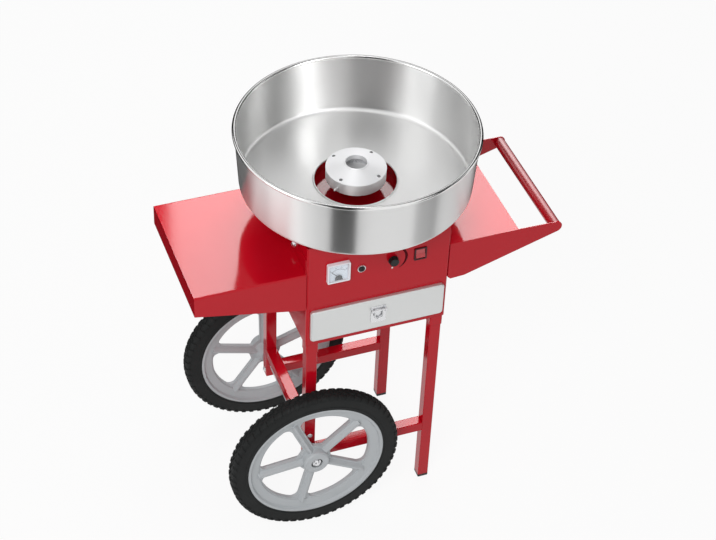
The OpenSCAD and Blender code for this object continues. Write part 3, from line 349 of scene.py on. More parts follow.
gloss_window = {"place": (0.75, 1.95, 2.5), "aim": AIM, "width": 2.2, "height": 1.4, "watts": 77}
gloss = soft_box("gloss", **gloss_window)
reach_only(gloss, [frame["nodes"][name] for name in painted if name not in ("deck", "handle_bar")])
deck_gloss = soft_box("deck_gloss", **gloss_window)
deck_gloss.visible_diffuse = False
reach_only(deck_gloss, [frame["nodes"]["deck"]])
for card, (section, spans) in CARDS.items():
    dark_cards(card, section, spans)
print("studio: surround, floor, lamps and cards, round the axis at", [round(c, 4) for c in AXIS])

# %% [markdown]
# ## Finishes
# Every solid gets a procedural finish. Coordinates are the object's own, in metres, so grain keeps its real
# scale and stays put when a body moves. Sharp CAD edges catch no light, and a real fold or moulding always
# does, so most finishes round their edges a little through the Bevel node.

# %% Finishes for metal
RED = rgb(0.52, 0.003, 0.014)
RED_DEEP = rgb(0.47, 0.002, 0.010)


def red_enamel(name, folded):
    """Glossy red powder coat. Folded sheet has rounded edges, and a faint orange peel under its clear gloss.

    A tube that isn't folded is handled, so its coat is thicker and its gloss is softer.
    """
    f = Finish(name, {"Roughness": 0.4, "Specular IOR Level": 0.0, "Coat Weight": 1.0,
                      "Coat Roughness": 0.09 if folded else 0.3, "Coat IOR": 1.34 if folded else 2.3})
    f.feed("Base Color", f.between(RED_DEEP, RED, f.noise(7, 3)))
    if folded:
        f.feed("Normal", f.bump(f.noise(700, 2), 0.0002, 0.06, f.rounded(1.1 * MM)))
    return f


def spun_steel():
    """The bowl's wall, spun and polished: rings too fine to see stretch every reflection upright."""
    f = Finish("spun_steel", {"Metallic": 1.0, "Anisotropic": 1.0, "Anisotropic Rotation": 0.25})
    rings = f.lines(f.radius(AXIS) + f.axes()[2], 2400)
    f.feed("Base Color", f.between(rgb(0.76, 0.76, 0.757), rgb(0.82, 0.82, 0.815), f.noise(9, 3)))
    f.feed("Roughness", 0.32 + 0.03 * f.noise(14, 4))
    f.feed("Normal", f.bump(rings, 0.00002, 0.2))
    return f


def mirror_steel():
    """The bowl's rolled rim, which hands polish bright."""
    f = Finish("mirror_steel", {"Metallic": 1.0})
    f.feed("Base Color", f.between(rgb(0.80, 0.80, 0.797), rgb(0.86, 0.86, 0.855), f.noise(9, 3)))
    f.feed("Roughness", 0.16 + 0.06 * f.noise(30, 3))
    return f


def satin_steel():
    """The bowl's floor: the same steel with a satin scrub."""
    f = Finish("satin_steel", {"Metallic": 1.0, "Anisotropic": 0.3, "Anisotropic Rotation": 0.25})
    rings = f.lines(f.radius(AXIS), 1800)
    f.feed("Base Color", f.between(rgb(0.88, 0.88, 0.877), rgb(0.94, 0.94, 0.935), rings))
    f.feed("Roughness", 0.42 + 0.05 * f.noise(14, 4))
    f.feed("Normal", f.bump(rings, 0.00002, 0.25))
    return f


def rolled_band():
    """The drum's rolled steel band: bright, with a satin drawn round it."""
    f = Finish("rolled_band", {"Metallic": 1.0, "Anisotropic": 0.9, "Anisotropic Rotation": 0.25})
    f.feed("Base Color", f.between(rgb(0.82, 0.81, 0.81), rgb(0.90, 0.89, 0.89), f.noise(60, 2)))
    f.feed("Roughness", 0.4 + 0.08 * f.noise(90, 3))
    return f


def turned_aluminium(name, dark, light, metallic):
    """The head's castings, turned on a lathe to a pale satin. Its lighter copy that is not metal paints
    light into parts that sit in shade.
    """
    f = Finish(name, {"Metallic": metallic, "Anisotropic": 0.6, "Anisotropic Rotation": 0.25})
    rings = f.lines(f.radius(AXIS), 1600)
    f.feed("Base Color", f.between(dark, light, rings))
    f.feed("Roughness", 0.56 + 0.1 * rings)
    f.feed("Normal", f.bump(rings, 0.00003, 0.3, f.rounded(0.4 * MM)))
    return f


def drawer_plate():
    """Pale satin steel with a faint grain along the drawer's length."""
    f = Finish("drawer_plate", {"Metallic": 0.7, "Coat Weight": 0.3, "Coat Roughness": 0.12})
    grain = f.noise(60, 4, (1, 40, 40))
    f.feed("Base Color", f.between(rgb(0.66, 0.67, 0.665), rgb(0.73, 0.74, 0.735), grain))
    f.feed("Roughness", 0.3 + 0.08 * grain)
    f.feed("Normal", f.bump(grain, 0.00003, 0.3, f.rounded(1.2 * MM)))
    return f


def bright_plating():
    """Zinc plating: bright, with cloudy crystals."""
    f = Finish("bright_plating", {"Metallic": 1.0})
    cloud = f.noise(240, 3)
    f.feed("Base Color", f.between(rgb(0.66, 0.67, 0.69), rgb(0.84, 0.84, 0.85), cloud))
    f.feed("Roughness", 0.2 + 0.16 * cloud)
    f.feed("Normal", f.rounded(0.4 * MM))
    return f


def motor_enamel():
    f = Finish("motor_enamel", {"Coat Weight": 0.3, "Coat Roughness": 0.25})
    f.feed("Base Color", f.between(rgb(0.05, 0.055, 0.06), rgb(0.09, 0.095, 0.1), f.noise(40, 4)))
    f.feed("Roughness", 0.45 + 0.15 * f.noise(120, 3))
    f.feed("Normal", f.bump(f.noise(420, 3), 0.0003, 0.3, f.rounded(0.6 * MM)))
    return f


def turned_brass():
    f = Finish("turned_brass", {"Metallic": 1.0})
    lines = f.lines(f.axes()[2], 2600)
    f.feed("Base Color", f.between(rgb(0.56, 0.38, 0.13), rgb(0.72, 0.52, 0.22), lines))
    f.feed("Roughness", 0.22 + 0.14 * lines)
    f.feed("Normal", f.bump(lines, 0.00003, 0.3))
    return f


print("finishes: metal")

# %% Finishes for plastic, rubber and carbon
def moulded_grey():
    """The wheels' pale grey polymer, with a fine moulded grain and faint flow marks."""
    f = Finish("moulded_grey", {"Specular IOR Level": 0.4})
    flow = f.noise(16, 4)
    f.feed("Base Color", f.between(rgb(0.45, 0.475, 0.49), rgb(0.53, 0.555, 0.575), flow))
    f.feed("Roughness", 0.4 + 0.14 * f.noise(180, 3))
    f.feed("Normal", f.bump(f.noise(1400, 2), 0.00012, 0.25, f.rounded(2.2 * MM)))
    return f


def tread_rubber():
    """Black rubber: matt, a little grey where it has been handled."""
    f = Finish("tread_rubber", {"Specular IOR Level": 0.22})
    bloom = f.noise(22, 5)
    f.feed("Base Color", f.between(rgb(0.008, 0.009, 0.009), rgb(0.019, 0.020, 0.020), bloom))
    f.feed("Roughness", 0.56 + 0.2 * f.noise(260, 4))
    f.feed("Normal", f.bump(f.noise(900, 3), 0.0003, 0.35, f.rounded(0.7 * MM)))
    return f


def moulding(name, dark, light, roughness, gloss=0.45):
    """A plain plastic moulding, or a film of ink, with a fine grain."""
    f = Finish(name, {"Specular IOR Level": gloss})
    f.feed("Base Color", f.between(dark, light, f.noise(70, 3)))
    f.feed("Roughness", roughness + 0.1 * f.noise(300, 3))
    f.feed("Normal", f.bump(f.noise(1500, 2), 0.0001, 0.25, f.rounded(0.5 * MM)))
    return f


def clear_window():
    """The meter's clear front: mostly see-through, with a gloss."""
    f = Finish("clear_window", {"Roughness": 0.06, "Base Color": rgb(0.92, 0.96, 1.0), "Coat Weight": 0.5})
    f.feed("Alpha", 0.08 + 0.04 * f.noise(80, 2))
    f.material.blend_method = "BLEND"
    return f


def red_lens():
    """The rocker: clear red plastic, deep in colour with a hard gloss."""
    f = Finish("red_lens", {"Coat Weight": 0.8, "Coat Roughness": 0.04, "Subsurface Weight": 0.2})
    f.shader.inputs["Subsurface Radius"].default_value = (0.004, 0.0005, 0.0005)
    f.feed("Base Color", f.between(rgb(0.44, 0.006, 0.014), rgb(0.58, 0.012, 0.024), f.noise(120, 2)))
    f.feed("Roughness", 0.16 + 0.08 * f.noise(300, 2))
    f.feed("Normal", f.rounded(0.5 * MM))
    return f


def laminate():
    """Pressed brown laminate that insulates the slip rings."""
    f = Finish("laminate", {"Specular IOR Level": 0.4})
    layers = f.lines(f.axes()[2], 1400, 4)
    f.feed("Base Color", f.between(rgb(0.11, 0.045, 0.02), rgb(0.2, 0.09, 0.04), layers))
    f.feed("Roughness", 0.5 + 0.15 * layers)
    f.feed("Normal", f.rounded(0.4 * MM))
    return f


def carbon():
    f = Finish("carbon", {"Metallic": 0.2})
    speck = f.noise(900, 4)
    f.feed("Base Color", f.between(rgb(0.012, 0.012, 0.013), rgb(0.035, 0.035, 0.038), speck))
    f.feed("Roughness", 0.55 + 0.2 * speck)
    f.feed("Normal", f.bump(speck, 0.0002, 0.3))
    return f


print("finishes: plastic, rubber and carbon")

# %% [markdown]
# ## Painting the solids
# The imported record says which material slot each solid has. Each slot has a finish here, and a few solids
# that look unlike the rest of their slot are named one by one.

# %% Painting the solids
black = moulding("black_moulding", rgb(0.006, 0.006, 0.006), rgb(0.016, 0.016, 0.016), 0.34, 0.3)
white = moulding("white_moulding", rgb(0.84, 0.83, 0.88), rgb(0.9, 0.89, 0.93), 0.28)
dial_card = moulding("dial_card", rgb(0.80, 0.87, 0.95), rgb(0.86, 0.92, 0.99), 0.5)
steel = spun_steel()
floor_steel = satin_steel()
rim_steel = mirror_steel()
band = rolled_band()
aluminium = turned_aluminium("turned_aluminium", rgb(0.93, 0.93, 0.945), rgb(0.97, 0.97, 0.98), 0.6)
# The base and spindle get the same turned aluminium, made lighter and not metallic: painted light that lifts
# the shade they sit in down the sugar hole.
lightened_casting = turned_aluminium("bright_casting", rgb(0.90, 0.90, 0.905), rgb(0.95, 0.95, 0.955), 0.0)
plating = bright_plating()
screw_black = moulding("blackened_screw", rgb(0.17, 0.17, 0.175), rgb(0.24, 0.24, 0.245), 0.35)
ink = moulding("dial_ink", rgb(0.10, 0.11, 0.13), rgb(0.14, 0.15, 0.17), 0.5)
maroon = moulding("maroon_moulding", rgb(0.045, 0.003, 0.006), rgb(0.065, 0.004, 0.008), 0.3, 0.3)
maroon_ink = moulding("maroon_ink", rgb(0.07, 0.002, 0.005), rgb(0.10, 0.002, 0.007), 0.7, 0.1)
white_ink = moulding("white_ink", rgb(0.74, 0.74, 0.74), rgb(0.82, 0.82, 0.82), 0.45)
plate = drawer_plate()
rubber = tread_rubber()
tube_enamel = red_enamel("tube_enamel", False)
SLOT_FINISHES = {
    "red_paint": red_enamel("red_enamel", True), "polished_steel": steel, "drawer_steel": plate,
    "bright_zinc": plating, "head_aluminium": aluminium, "wheel_grey": moulded_grey(), "tyre_rubber": rubber,
    "black_plastic": black, "white_plastic": white, "clear_plastic": clear_window(),
    "red_plastic": red_lens(), "motor_grey": motor_enamel(), "brown_insulator": laminate(),
    "ring_brass": turned_brass(), "brush_carbon": carbon(),
}
# The head's base and spindle take the lightened casting, which is painted light against their shade.
SOLID_FINISHES = {"handle_bar": tube_enamel, "head_band": band, "head_pins": band, "head_base": lightened_casting,
                  "spindle": lightened_casting, "meter_dial": dial_card, "switch_housing": maroon}


def paint(obj, finish):
    """Gives an object one finish all over."""
    obj.data.materials.clear()
    obj.data.materials.append(finish.material)


for row in frame["record"]["subparts"]:
    paint(frame["nodes"][row["node"]], SOLID_FINISHES.get(row["node"], SLOT_FINISHES[row["material_slot"]]))

# %% [markdown]
# ## Making pieces
# Each new piece is drawn into a bmesh, given smooth shading with its real edges kept sharp, and set to ride
# on the body that carries it. Some pieces stand for a solid of the frame, which is then hidden and kept for
# collision.

# %% Helpers for pieces
EDGE_ANGLE = math.radians(38)


def piece(name, maker, finish, body, stands_for=()):
    """Turns a bmesh into an object that rides on a body and may stand for solids of the frame."""
    bmesh.ops.recalc_face_normals(maker, faces=maker.faces[:])
    for face in maker.faces:
        face.smooth = True
    for edge in maker.edges:
        edge.smooth = len(edge.link_faces) == 2 and edge.calc_face_angle(0) < EDGE_ANGLE
    mesh = bpy.data.meshes.new(name)
    maker.to_mesh(mesh)
    maker.free()
    mesh.materials.append(finish.material)
    obj = bpy.data.objects.new(name, mesh)
    bpy.context.scene.collection.objects.link(obj)
    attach(obj, body)
    if stands_for:
        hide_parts(*stands_for)
    print(f"piece {name}: {len(mesh.vertices)} points on {body}")
    return obj


def arc(centre, radius, start, end, steps):
    """Points along an arc, angles in degrees."""
    turns = [math.radians(start + (end - start) * k / steps) for k in range(steps + 1)]
    return [(centre[0] + radius * math.cos(a), centre[1] + radius * math.sin(a)) for a in turns]


def circle(centre, radius, sides):
    """Points round a circle."""
    return arc(centre, radius, 0, 360 - 360 / sides, sides - 1)


def polar(reach, turn, level):
    """The point at a reach and a turn, in radians, about the z axis."""
    return Vector((reach * math.cos(turn), reach * math.sin(turn), level))


def skin(maker, loops):
    """Joins loops of points, each to the next, and closes both ends."""
    for here, there in zip(loops, loops[1:]):
        for k in range(len(here)):
            j = (k + 1) % len(here)
            maker.faces.new((here[k], here[j], there[j], there[k]))
    maker.faces.new(loops[0][::-1])
    maker.faces.new(loops[-1])


def turn_on_lathe(maker, outline, place, segments):
    """Turns a closed outline of (radius, height) points about the z axis of `place`."""
    rings = []
    for k in range(segments):
        a = 2 * math.pi * k / segments
        rings.append([maker.verts.new(place @ polar(r, a, z)) for r, z in outline])
    count = len(outline)
    for k in range(segments):
        here, there = rings[k], rings[(k + 1) % segments]
        for i in range(count):
            j = (i + 1) % count
            maker.faces.new((here[i], there[i], there[j], here[j]))


print("helpers: ready")

# %% [markdown]
# ## The bowl
# A floss bowl is one disc of stainless steel, spun over a form: a flat floor with a hemmed hole, a round
# corner, a slightly flared wall and a rolled rim. Its polish shows every facet, so it is turned here from
# the same section with far more segments than a solid needs.

# %% Bowl
SHEET = 1.5 * MM
BEAD_R = 4.5 * MM
HEM_R = 2 * MM
HOLE_R = 87 * MM
CORNER_R = 14 * MM
FLARE = 8 * MM
COLLAR_R = 94.3 * MM
COLLAR_DROP = 11 * MM
BOWL_SEGMENTS = 288
HEM_FLAT, FLOOR_MIDWAY = 5 * MM, 60 * MM
HEM_STEPS, CORNER_STEPS, BEAD_STEPS = 16, 12, 28
WALL_SHARES = (0.25, 0.5, 0.75, 0.94, 0.955)
FLOOR_SHARE = 0.6
WALL_FACE, FLOOR_FACE, RIM_FACE = 0, 1, 2
WALL_R = 0.25


def bowl_outline():
    """Section of the bowl as (radius, height over the floor's underside)."""
    height = bowl_high.z - bowl_low.z - COLLAR_DROP
    wall_r = (bowl_high.x - bowl_low.x) / 2 - BEAD_R
    foot_r = wall_r - FLARE
    corner = (foot_r - CORNER_R, CORNER_R)
    bead = (wall_r, height - BEAD_R)
    hem = (HOLE_R + HEM_R, HEM_R)
    outline = arc(hem, HEM_R, 270, 15, HEM_STEPS)
    outline += [(HOLE_R + HEM_FLAT, SHEET), (HOLE_R + FLOOR_MIDWAY, SHEET)]
    outline += arc(corner, CORNER_R - SHEET, 270, 360, CORNER_STEPS)
    wall = [(foot_r + FLARE * t, CORNER_R + (bead[1] - CORNER_R) * t) for t in WALL_SHARES]
    outline += [(r - SHEET, z) for r, z in wall]
    outline += arc(bead, BEAD_R, 250, -75, BEAD_STEPS)
    outline += wall[::-1]
    outline += arc(corner, CORNER_R, 0, -90, CORNER_STEPS)
    outline += [(COLLAR_R + SHEET, 0), (COLLAR_R + SHEET, -COLLAR_DROP)]
    outline += [(COLLAR_R, -COLLAR_DROP), (COLLAR_R, 0)]
    return outline


maker = bmesh.new()
floor_foot = bowl_low.z + COLLAR_DROP
turn_on_lathe(maker, bowl_outline(), Matrix.Translation((AXIS.x, AXIS.y, floor_foot)), BOWL_SEGMENTS)
spun_bowl = piece("spun_bowl", maker, steel, "bowl_unit", ["bowl"])
for finish in (floor_steel, rim_steel):
    spun_bowl.data.materials.append(finish.material)
floor_top = floor_foot + CORNER_R * FLOOR_SHARE
rim_foot = bowl_high.z - 2 * BEAD_R
for face in spun_bowl.data.polygons:
    level = face.center.z
    face.material_index = FLOOR_FACE if level < floor_top else RIM_FACE if level > rim_foot else WALL_FACE


def strip_lamp(name, azimuth, reach, aim, middle, width, height, watts):
    """A tall lamp that only the bowl sees, level with the point of the wall at which it aims.

    Inside the rim's circle it lights the inner wall and not the outer one.
    """
    place, target = (Vector((AXIS.x, AXIS.y, 0)) + polar(r, math.radians(a), middle)
                     for r, a in ((reach, azimuth), (WALL_R, aim)))
    reach_only(soft_box(name, place, target, width, height, watts), [spun_bowl])


strip_lamp("left_strip", azimuth=190, reach=2.2, aim=190, middle=1.7, width=1.2, height=1.6, watts=13)
strip_lamp("inner_right", azimuth=321.5, reach=0.235, aim=96, middle=1.2, width=0.09, height=0.4, watts=0.6)
rim_light = soft_box("rim_light", place=(AXIS.x, AXIS.y, 3.2), aim=AXIS, width=0.5, height=0.5, watts=2)
reach_only(rim_light, [spun_bowl])
for lamp in (key, back):
    keep_off(lamp, [spun_bowl, frame["nodes"]["deck"]])
satin_faces = sum(f.material_index == FLOOR_FACE for f in spun_bowl.data.polygons)
print("bowl:", satin_faces, "satin faces, lit by its own lamps")

# %% [markdown]
# ## Tyres
# The tyre is moulded in one with its tread: rows of small blocks, leaning and staggered, which wrap over
# the shoulders. A block is easy to draw flat and hard to draw round a tyre, so its corners are given as a
# turn round the wheel and a length along the tyre's section, and one function lays such a point on the
# carcass.

# %% Tyres
JOINT_AT = {j["name"]: Vector(j["pos_m"]) for j in frame["record"]["behaviour"]["joints"] if "pos_m" in j}
tyre_low, tyre_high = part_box("front_tyre")
rim_low, rim_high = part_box("front_wheel")
TREAD_H = 2.1 * MM
SHOULDER = 9.0 * MM
SEAT_GAP = 0.2 * MM
SIDE_ROOM = 1.2 * MM
CROWN_R = (tyre_high.z - tyre_low.z) / 2 - TREAD_H
SEAT_R = (rim_high.z - rim_low.z) / 2 + SEAT_GAP
HALF_W = (tyre_high.y - tyre_low.y) / 2 - SIDE_ROOM
FLAT = HALF_W - SHOULDER
BEND = SHOULDER * math.pi / 2
SECTION = FLAT + BEND + CROWN_R - SHOULDER - SEAT_R
FLAT_STEPS, BEND_STEPS = 3, 8
BEAD_LIFT = 0.9 * MM
# Sidewall: way from the rim in millimetres, and lift
SIDEWALL = ((16, 0), (8.2, 0), (7.6, BEAD_LIFT), (4.4, BEAD_LIFT), (3.8, 0), (0, 0))
PITCHES = 60
STAGGER = 0.25
# Blocks of one pitch: offset and span in pitches, start and end along the section, lean in pitches
BLOCKS = ((0.0, 0.58, 6.8 * MM, 20.5 * MM, 0.22), (0.5, 0.5, 1.2 * MM, 5.6 * MM, -0.3))
# A block's foot, sunk in the rubber, and its narrower top: lift and share of the span
BLOCK_LAYERS = ((-MM, 1.0), (TREAD_H, 0.8))
BLOCK_STEPS = 5


def on_carcass(along, lift):
    """(radius, across) of a point `along` the tyre's section from its crown, and `lift` above the rubber."""
    side, way = math.copysign(1, along), abs(along)
    if way <= FLAT:
        return CROWN_R + lift, along
    if way <= FLAT + BEND:
        a, reach = (way - FLAT) / SHOULDER, SHOULDER + lift
        return CROWN_R - SHOULDER + reach * math.cos(a), side * (FLAT + reach * math.sin(a))
    return CROWN_R - SHOULDER - (way - FLAT - BEND), side * (HALF_W + lift)


def carcass_outline():
    """Section of the tyre without its blocks: crown, shoulders, sidewalls with a bead line near the rim."""
    half = [on_carcass(FLAT * k / FLAT_STEPS, 0) for k in range(1, FLAT_STEPS + 1)]
    half += [on_carcass(FLAT + BEND * k / BEND_STEPS, 0) for k in range(1, BEND_STEPS + 1)]
    half += [on_carcass(SECTION - from_rim * MM, lift) for from_rim, lift in SIDEWALL]
    return [(r, -a) for r, a in reversed(half)] + [(CROWN_R, 0)] + half


def tread_block(maker, place, turn, span, start, end, lean):
    """One block: `span` wide round the tyre, from start to end along its section.

    Its far end is turned by `lean`.
    """
    rows = []
    for k in range(BLOCK_STEPS + 1):
        share = k / BLOCK_STEPS
        row = []
        for lift, width in BLOCK_LAYERS:
            r, across = on_carcass(start + (end - start) * share, lift)
            for side in (-1, 1):
                a = turn + lean * share + side * span * width / 2
                row.append(maker.verts.new(place @ polar(r, a, across)))
        rows.append(row)
    for here, there in zip(rows, rows[1:]):
        for a, b in ((0, 2), (2, 3), (3, 1), (1, 0)):
            maker.faces.new((here[a], here[b], there[b], there[a]))
    for row in (rows[0], rows[-1]):
        maker.faces.new((row[0], row[1], row[3], row[2]))


def treaded_tyre(side, outward):
    maker = bmesh.new()
    tilt = Matrix.Rotation(-outward * math.pi / 2, 4, "X")
    place = Matrix.Translation(JOINT_AT[f"{side}_wheel_spin"]) @ tilt
    turn_on_lathe(maker, carcass_outline(), place, 3 * PITCHES)
    pitch = 2 * math.pi / PITCHES
    for k in range(PITCHES):
        for s in (-1, 1):
            for offset, span, start, end, lean in BLOCKS:
                turn = (k + STAGGER * s + offset) * pitch
                tread_block(maker, place, turn, span * pitch, s * start, s * end, lean * pitch)
    piece(f"{side}_treaded_tyre", maker, rubber, f"{side}_wheel_set", [f"{side}_tyre"])


treaded_tyre("front", -1)
treaded_tyre("rear", 1)

# %% [markdown]
# ## Fasteners
# The frame's bolts and screws are plain domes. A real head has a socket for its key, so each fastener is
# turned again as a stack of rings: round ones for the shank and dome, then a six-sided or cross-shaped one
# that sinks into the head. Where each stands is read off the frame: a fastener's points crowd at its head,
# which gives both its axis and its end.

# %% Fasteners
FASTENER_SEGMENTS = 24
DOME_STEPS = 6
WELD = 1e-6
HEAD_EDGE = 0.98
SHANK_TIP = 0.1 * MM
MOUTH_ROOM = 1.15
SOCKET_TAPER, SOCKET_DEPTH = 0.94, 0.55
CROSS_WAIST = 0.3


def solids_in(name):
    """The points of each separate solid of a node."""
    maker = bmesh.new()
    maker.from_mesh(frame["nodes"][name].data)
    bmesh.ops.remove_doubles(maker, verts=maker.verts[:], dist=WELD)
    left, groups = set(maker.verts), []
    while left:
        group, edge = set(), [left.pop()]
        while edge:
            vert = edge.pop()
            group.add(vert)
            for link in vert.link_edges:
                other = link.other_vert(vert)
                if other in left:
                    left.remove(other)
                    edge.append(other)
        groups.append([v.co.copy() for v in group])
    maker.free()
    return groups


def measure_fastener(points):
    """Place of the head's seat with +z towards the head, head radius and height, shank radius and length."""
    low, high = (Vector([pick(p[i] for p in points) for i in range(3)]) for pick in (min, max))
    middle = (low + high) / 2
    lean = sum(points, Vector()) / len(points) - middle
    axis = max(range(3), key=lambda i: abs(lean[i]))
    out = Vector([math.copysign(1, lean[i]) if i == axis else 0 for i in range(3)])
    level = [(p - middle).dot(out) for p in points]
    radius = [((p - middle) - out * h).length for p, h in zip(points, level)]
    head_r = max(radius)
    seat = min(h for h, r in zip(level, radius) if r > HEAD_EDGE * head_r)
    shank_r = max(r for h, r in zip(level, radius) if h < min(level) + SHANK_TIP)
    place = Matrix.Translation(middle + out * seat) @ out.to_track_quat("Z", "Y").to_matrix().to_4x4()
    return place, head_r, max(level) - seat, shank_r, seat - min(level)


def hex_socket(angle):
    """Radius of a six-sided socket, as a share of its corners' reach."""
    return math.cos(math.pi / 6) / math.cos(angle % (math.pi / 3) - math.pi / 6)


def cross_socket(angle):
    """Radius of a cross-shaped socket, as a share of its arms' reach."""
    return CROSS_WAIST + (1 - CROSS_WAIST) * abs(math.cos(2 * angle)) ** 3


def turn_fastener(maker, points, socket, socket_share):
    place, head_r, head_h, shank_r, shank_l = measure_fastener(points)
    mouth = socket_share * head_r
    rings = [(shank_r, -shank_l, None), (shank_r, 0, None), (head_r, 0, None)]
    for k in range(1, DOME_STEPS + 1):
        a = math.acos(mouth * MOUTH_ROOM / head_r) * k / DOME_STEPS
        rings.append((head_r * math.cos(a), head_h * math.sin(a), None))
    top = rings[-1][1]
    rings += [(mouth, top, socket), (mouth * SOCKET_TAPER, top - SOCKET_DEPTH * head_h, socket)]
    loops = []
    for reach, level, shape in rings:
        loop = []
        for k in range(FASTENER_SEGMENTS):
            a = 2 * math.pi * k / FASTENER_SEGMENTS
            r = reach * (shape(a) if shape else 1)
            loop.append(maker.verts.new(place @ polar(r, a, level)))
        loops.append(loop)
    skin(maker, loops)


def dress_fasteners(name, body, socket, socket_share, finish):
    maker = bmesh.new()
    groups = solids_in(name)
    for points in groups:
        turn_fastener(maker, points, socket, socket_share)
    piece(name + "_with_sockets", maker, finish, body, [name])
    print(f"  {len(groups)} fasteners in {name}")


# Node, body, socket, the socket's share of the head, and finish
for fastener in (("frame_bolts", "cart", hex_socket, 0.5, plating),
                 ("shelf_bolts", "cart", hex_socket, 0.42, plating),
                 ("case_screws", "cart", cross_socket, 0.6, plating),
                 ("head_screws", "spinner", hex_socket, 0.62, screw_black)):
    dress_fasteners(*fastener)

# %% [markdown]
# ## Turned-in edges
# The shelf's aprons and the tray's cheeks end beside the cabinet's round corners. A sheet-metal worker
# turns such an edge in by a finger's width: it stiffens the sheet, and no light shows between it and the
# corner. Each is a thin plate beside a corner, placed from the cabinet's box and the height of the tray's
# top.

# %% Turned-in edges
EDGE_W, EDGE_T, EDGE_INSET, EDGE_GAP = 12 * MM, 1.5 * MM, 6 * MM, 0.6 * MM
APRON_H = 100 * MM
shell_low, shell_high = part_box("cabinet_shell")


def turned_edge(maker, wall_x, side, corner_y, inward, low_z, high_z):
    """A plate along the cabinet's wall, from a corner inwards."""
    middle = (wall_x + side * (EDGE_GAP + EDGE_T / 2), corner_y + inward * (EDGE_T + EDGE_W / 2),
              (low_z + high_z) / 2)
    size = Matrix.Diagonal((EDGE_T, EDGE_W, high_z - low_z, 1))
    bmesh.ops.create_cube(maker, size=1, matrix=Matrix.Translation(middle) @ size)


def turned_edges():
    maker = bmesh.new()
    top = next(m for m in frame["record"]["mounts"] if m["name"] == "right_tray_top")["pos_m"][2]
    for wall_x, side in ((shell_low.x, -1), (shell_high.x, 1)):
        for corner_y, inward in ((shell_low.y, 1), (shell_high.y, -1)):
            turned_edge(maker, wall_x, side, corner_y, inward, top - APRON_H + EDGE_INSET, top - EDGE_INSET)
    piece("turned_edges", maker, SLOT_FINISHES["red_paint"], "cart")


turned_edges()

# %% [markdown]
# ## Prints and small mouldings on the front panel
# The panel carries a heat scale beside the knob, and the meter has a printed dial. A print is a film of
# ink, so each mark is a prism less than a tenth of a millimetre thick, drawn as a flat outline and stood on
# the face that carries it. Marks are placed from the joints of the knob and the needle, which lie on the
# same axes.

# %% Helpers for prints
INK = 0.08 * MM


def facing_front(x, y, z):
    """Place whose x runs right, y up and z out of the front panel."""
    return Matrix.Translation((x, y, z)) @ Matrix.Rotation(math.pi / 2, 4, "X")


def loft(maker, layers, place):
    """Joins flat outlines, each with its height, into one closed skin."""
    skin(maker, [[maker.verts.new(place @ Vector((x, y, z))) for x, y in outline] for outline, z in layers])


def prism(maker, outline, place, depth):
    """Stands a flat outline of (x, y) points on its place and gives it a depth."""
    loft(maker, [(outline, 0), (outline, depth)], place)


def band_arc(radius, width, start, end, steps):
    """Outline of a band along an arc. Width is a number, or a function of the share of the way."""
    def at(share, side):
        w = width(share) if callable(width) else width
        return arc((0, 0), radius + side * w / 2, start + (end - start) * share, 0, 1)[0]
    shares = [k / steps for k in range(steps + 1)]
    return [at(s, 1) for s in shares] + [at(s, -1) for s in reversed(shares)]


def number(maker, text, place, size):
    """A plain number, from the built-in font, centred on its place."""
    letters = bpy.data.curves.new("number", "FONT")
    letters.body, letters.size, letters.extrude = text, size, INK / 2
    letters.align_x, letters.align_y = "CENTER", "CENTER"
    holder = bpy.data.objects.new("number", letters)
    mesh = bpy.data.meshes.new_from_object(holder)
    mesh.transform(place)
    maker.from_mesh(mesh)
    bpy.data.objects.remove(holder)
    bpy.data.curves.remove(letters)
    bpy.data.meshes.remove(mesh)


print("prints: ready")

# %% Meter dial
needle_low, needle_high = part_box("meter_needle")
PIVOT = JOINT_AT["needle_swing"]
DIAL_GAP = 0.3 * MM
DIAL_FACE = needle_high.y + DIAL_GAP
SCALE_R, SCALE_LINE = 20 * MM, 0.5 * MM
FIRST, LAST, STEPS = 135, 45, 30
FIGURE_EVERY, MIDDLE_EVERY = 10, 5
LONG_TICK, MIDDLE_TICK, SHORT_TICK = 2.6 * MM, 1.8 * MM, 1.1 * MM
BOLD_HALF, FINE_HALF = 0.3 * MM, 0.15 * MM
FIGURE_OUT, FIGURE_SIZE = 5 * MM, 4.2 * MM
VISOR_HALF, VISOR_R, VISOR_DROP, VISOR_T = 9 * MM, 7.5 * MM, 1 * MM, 0.3 * MM
VISOR_STEPS, VISOR_GAP = 18, 0.1 * MM


def dial_marks():
    maker = bmesh.new()
    face = facing_front(PIVOT.x, DIAL_FACE, PIVOT.z)
    prism(maker, band_arc(SCALE_R, SCALE_LINE, FIRST, LAST, STEPS), face, INK)
    for k in range(STEPS + 1):
        angle = math.radians(FIRST + (LAST - FIRST) * k / STEPS)
        figure = k % FIGURE_EVERY == 0
        length = LONG_TICK if figure else MIDDLE_TICK if k % MIDDLE_EVERY == 0 else SHORT_TICK
        half = BOLD_HALF if figure else FINE_HALF
        tick = face @ Matrix.Rotation(angle, 4, "Z") @ Matrix.Translation((SCALE_R, 0, 0))
        prism(maker, [(0, -half), (length, -half), (length, half), (0, half)], tick, INK)
        if figure:
            spot = Matrix.Translation(polar(SCALE_R + FIGURE_OUT, angle, INK / 2))
            number(maker, str(k), face @ spot, FIGURE_SIZE)
    piece("dial_marks", maker, ink, "cart")


def pivot_visor():
    """A dark half-round cover over the needle's pivot, standing on the case's lower wall."""
    maker = bmesh.new()
    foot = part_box("meter_dial")[0].z - PIVOT.z
    outline = [(-VISOR_HALF, foot), (VISOR_HALF, foot)]
    outline += arc((0, -VISOR_DROP), VISOR_R, 0, 180, VISOR_STEPS)
    prism(maker, outline, facing_front(PIVOT.x, needle_low.y - VISOR_GAP, PIVOT.z), VISOR_T)
    piece("pivot_visor", maker, black, "cart")


dial_marks()
pivot_visor()

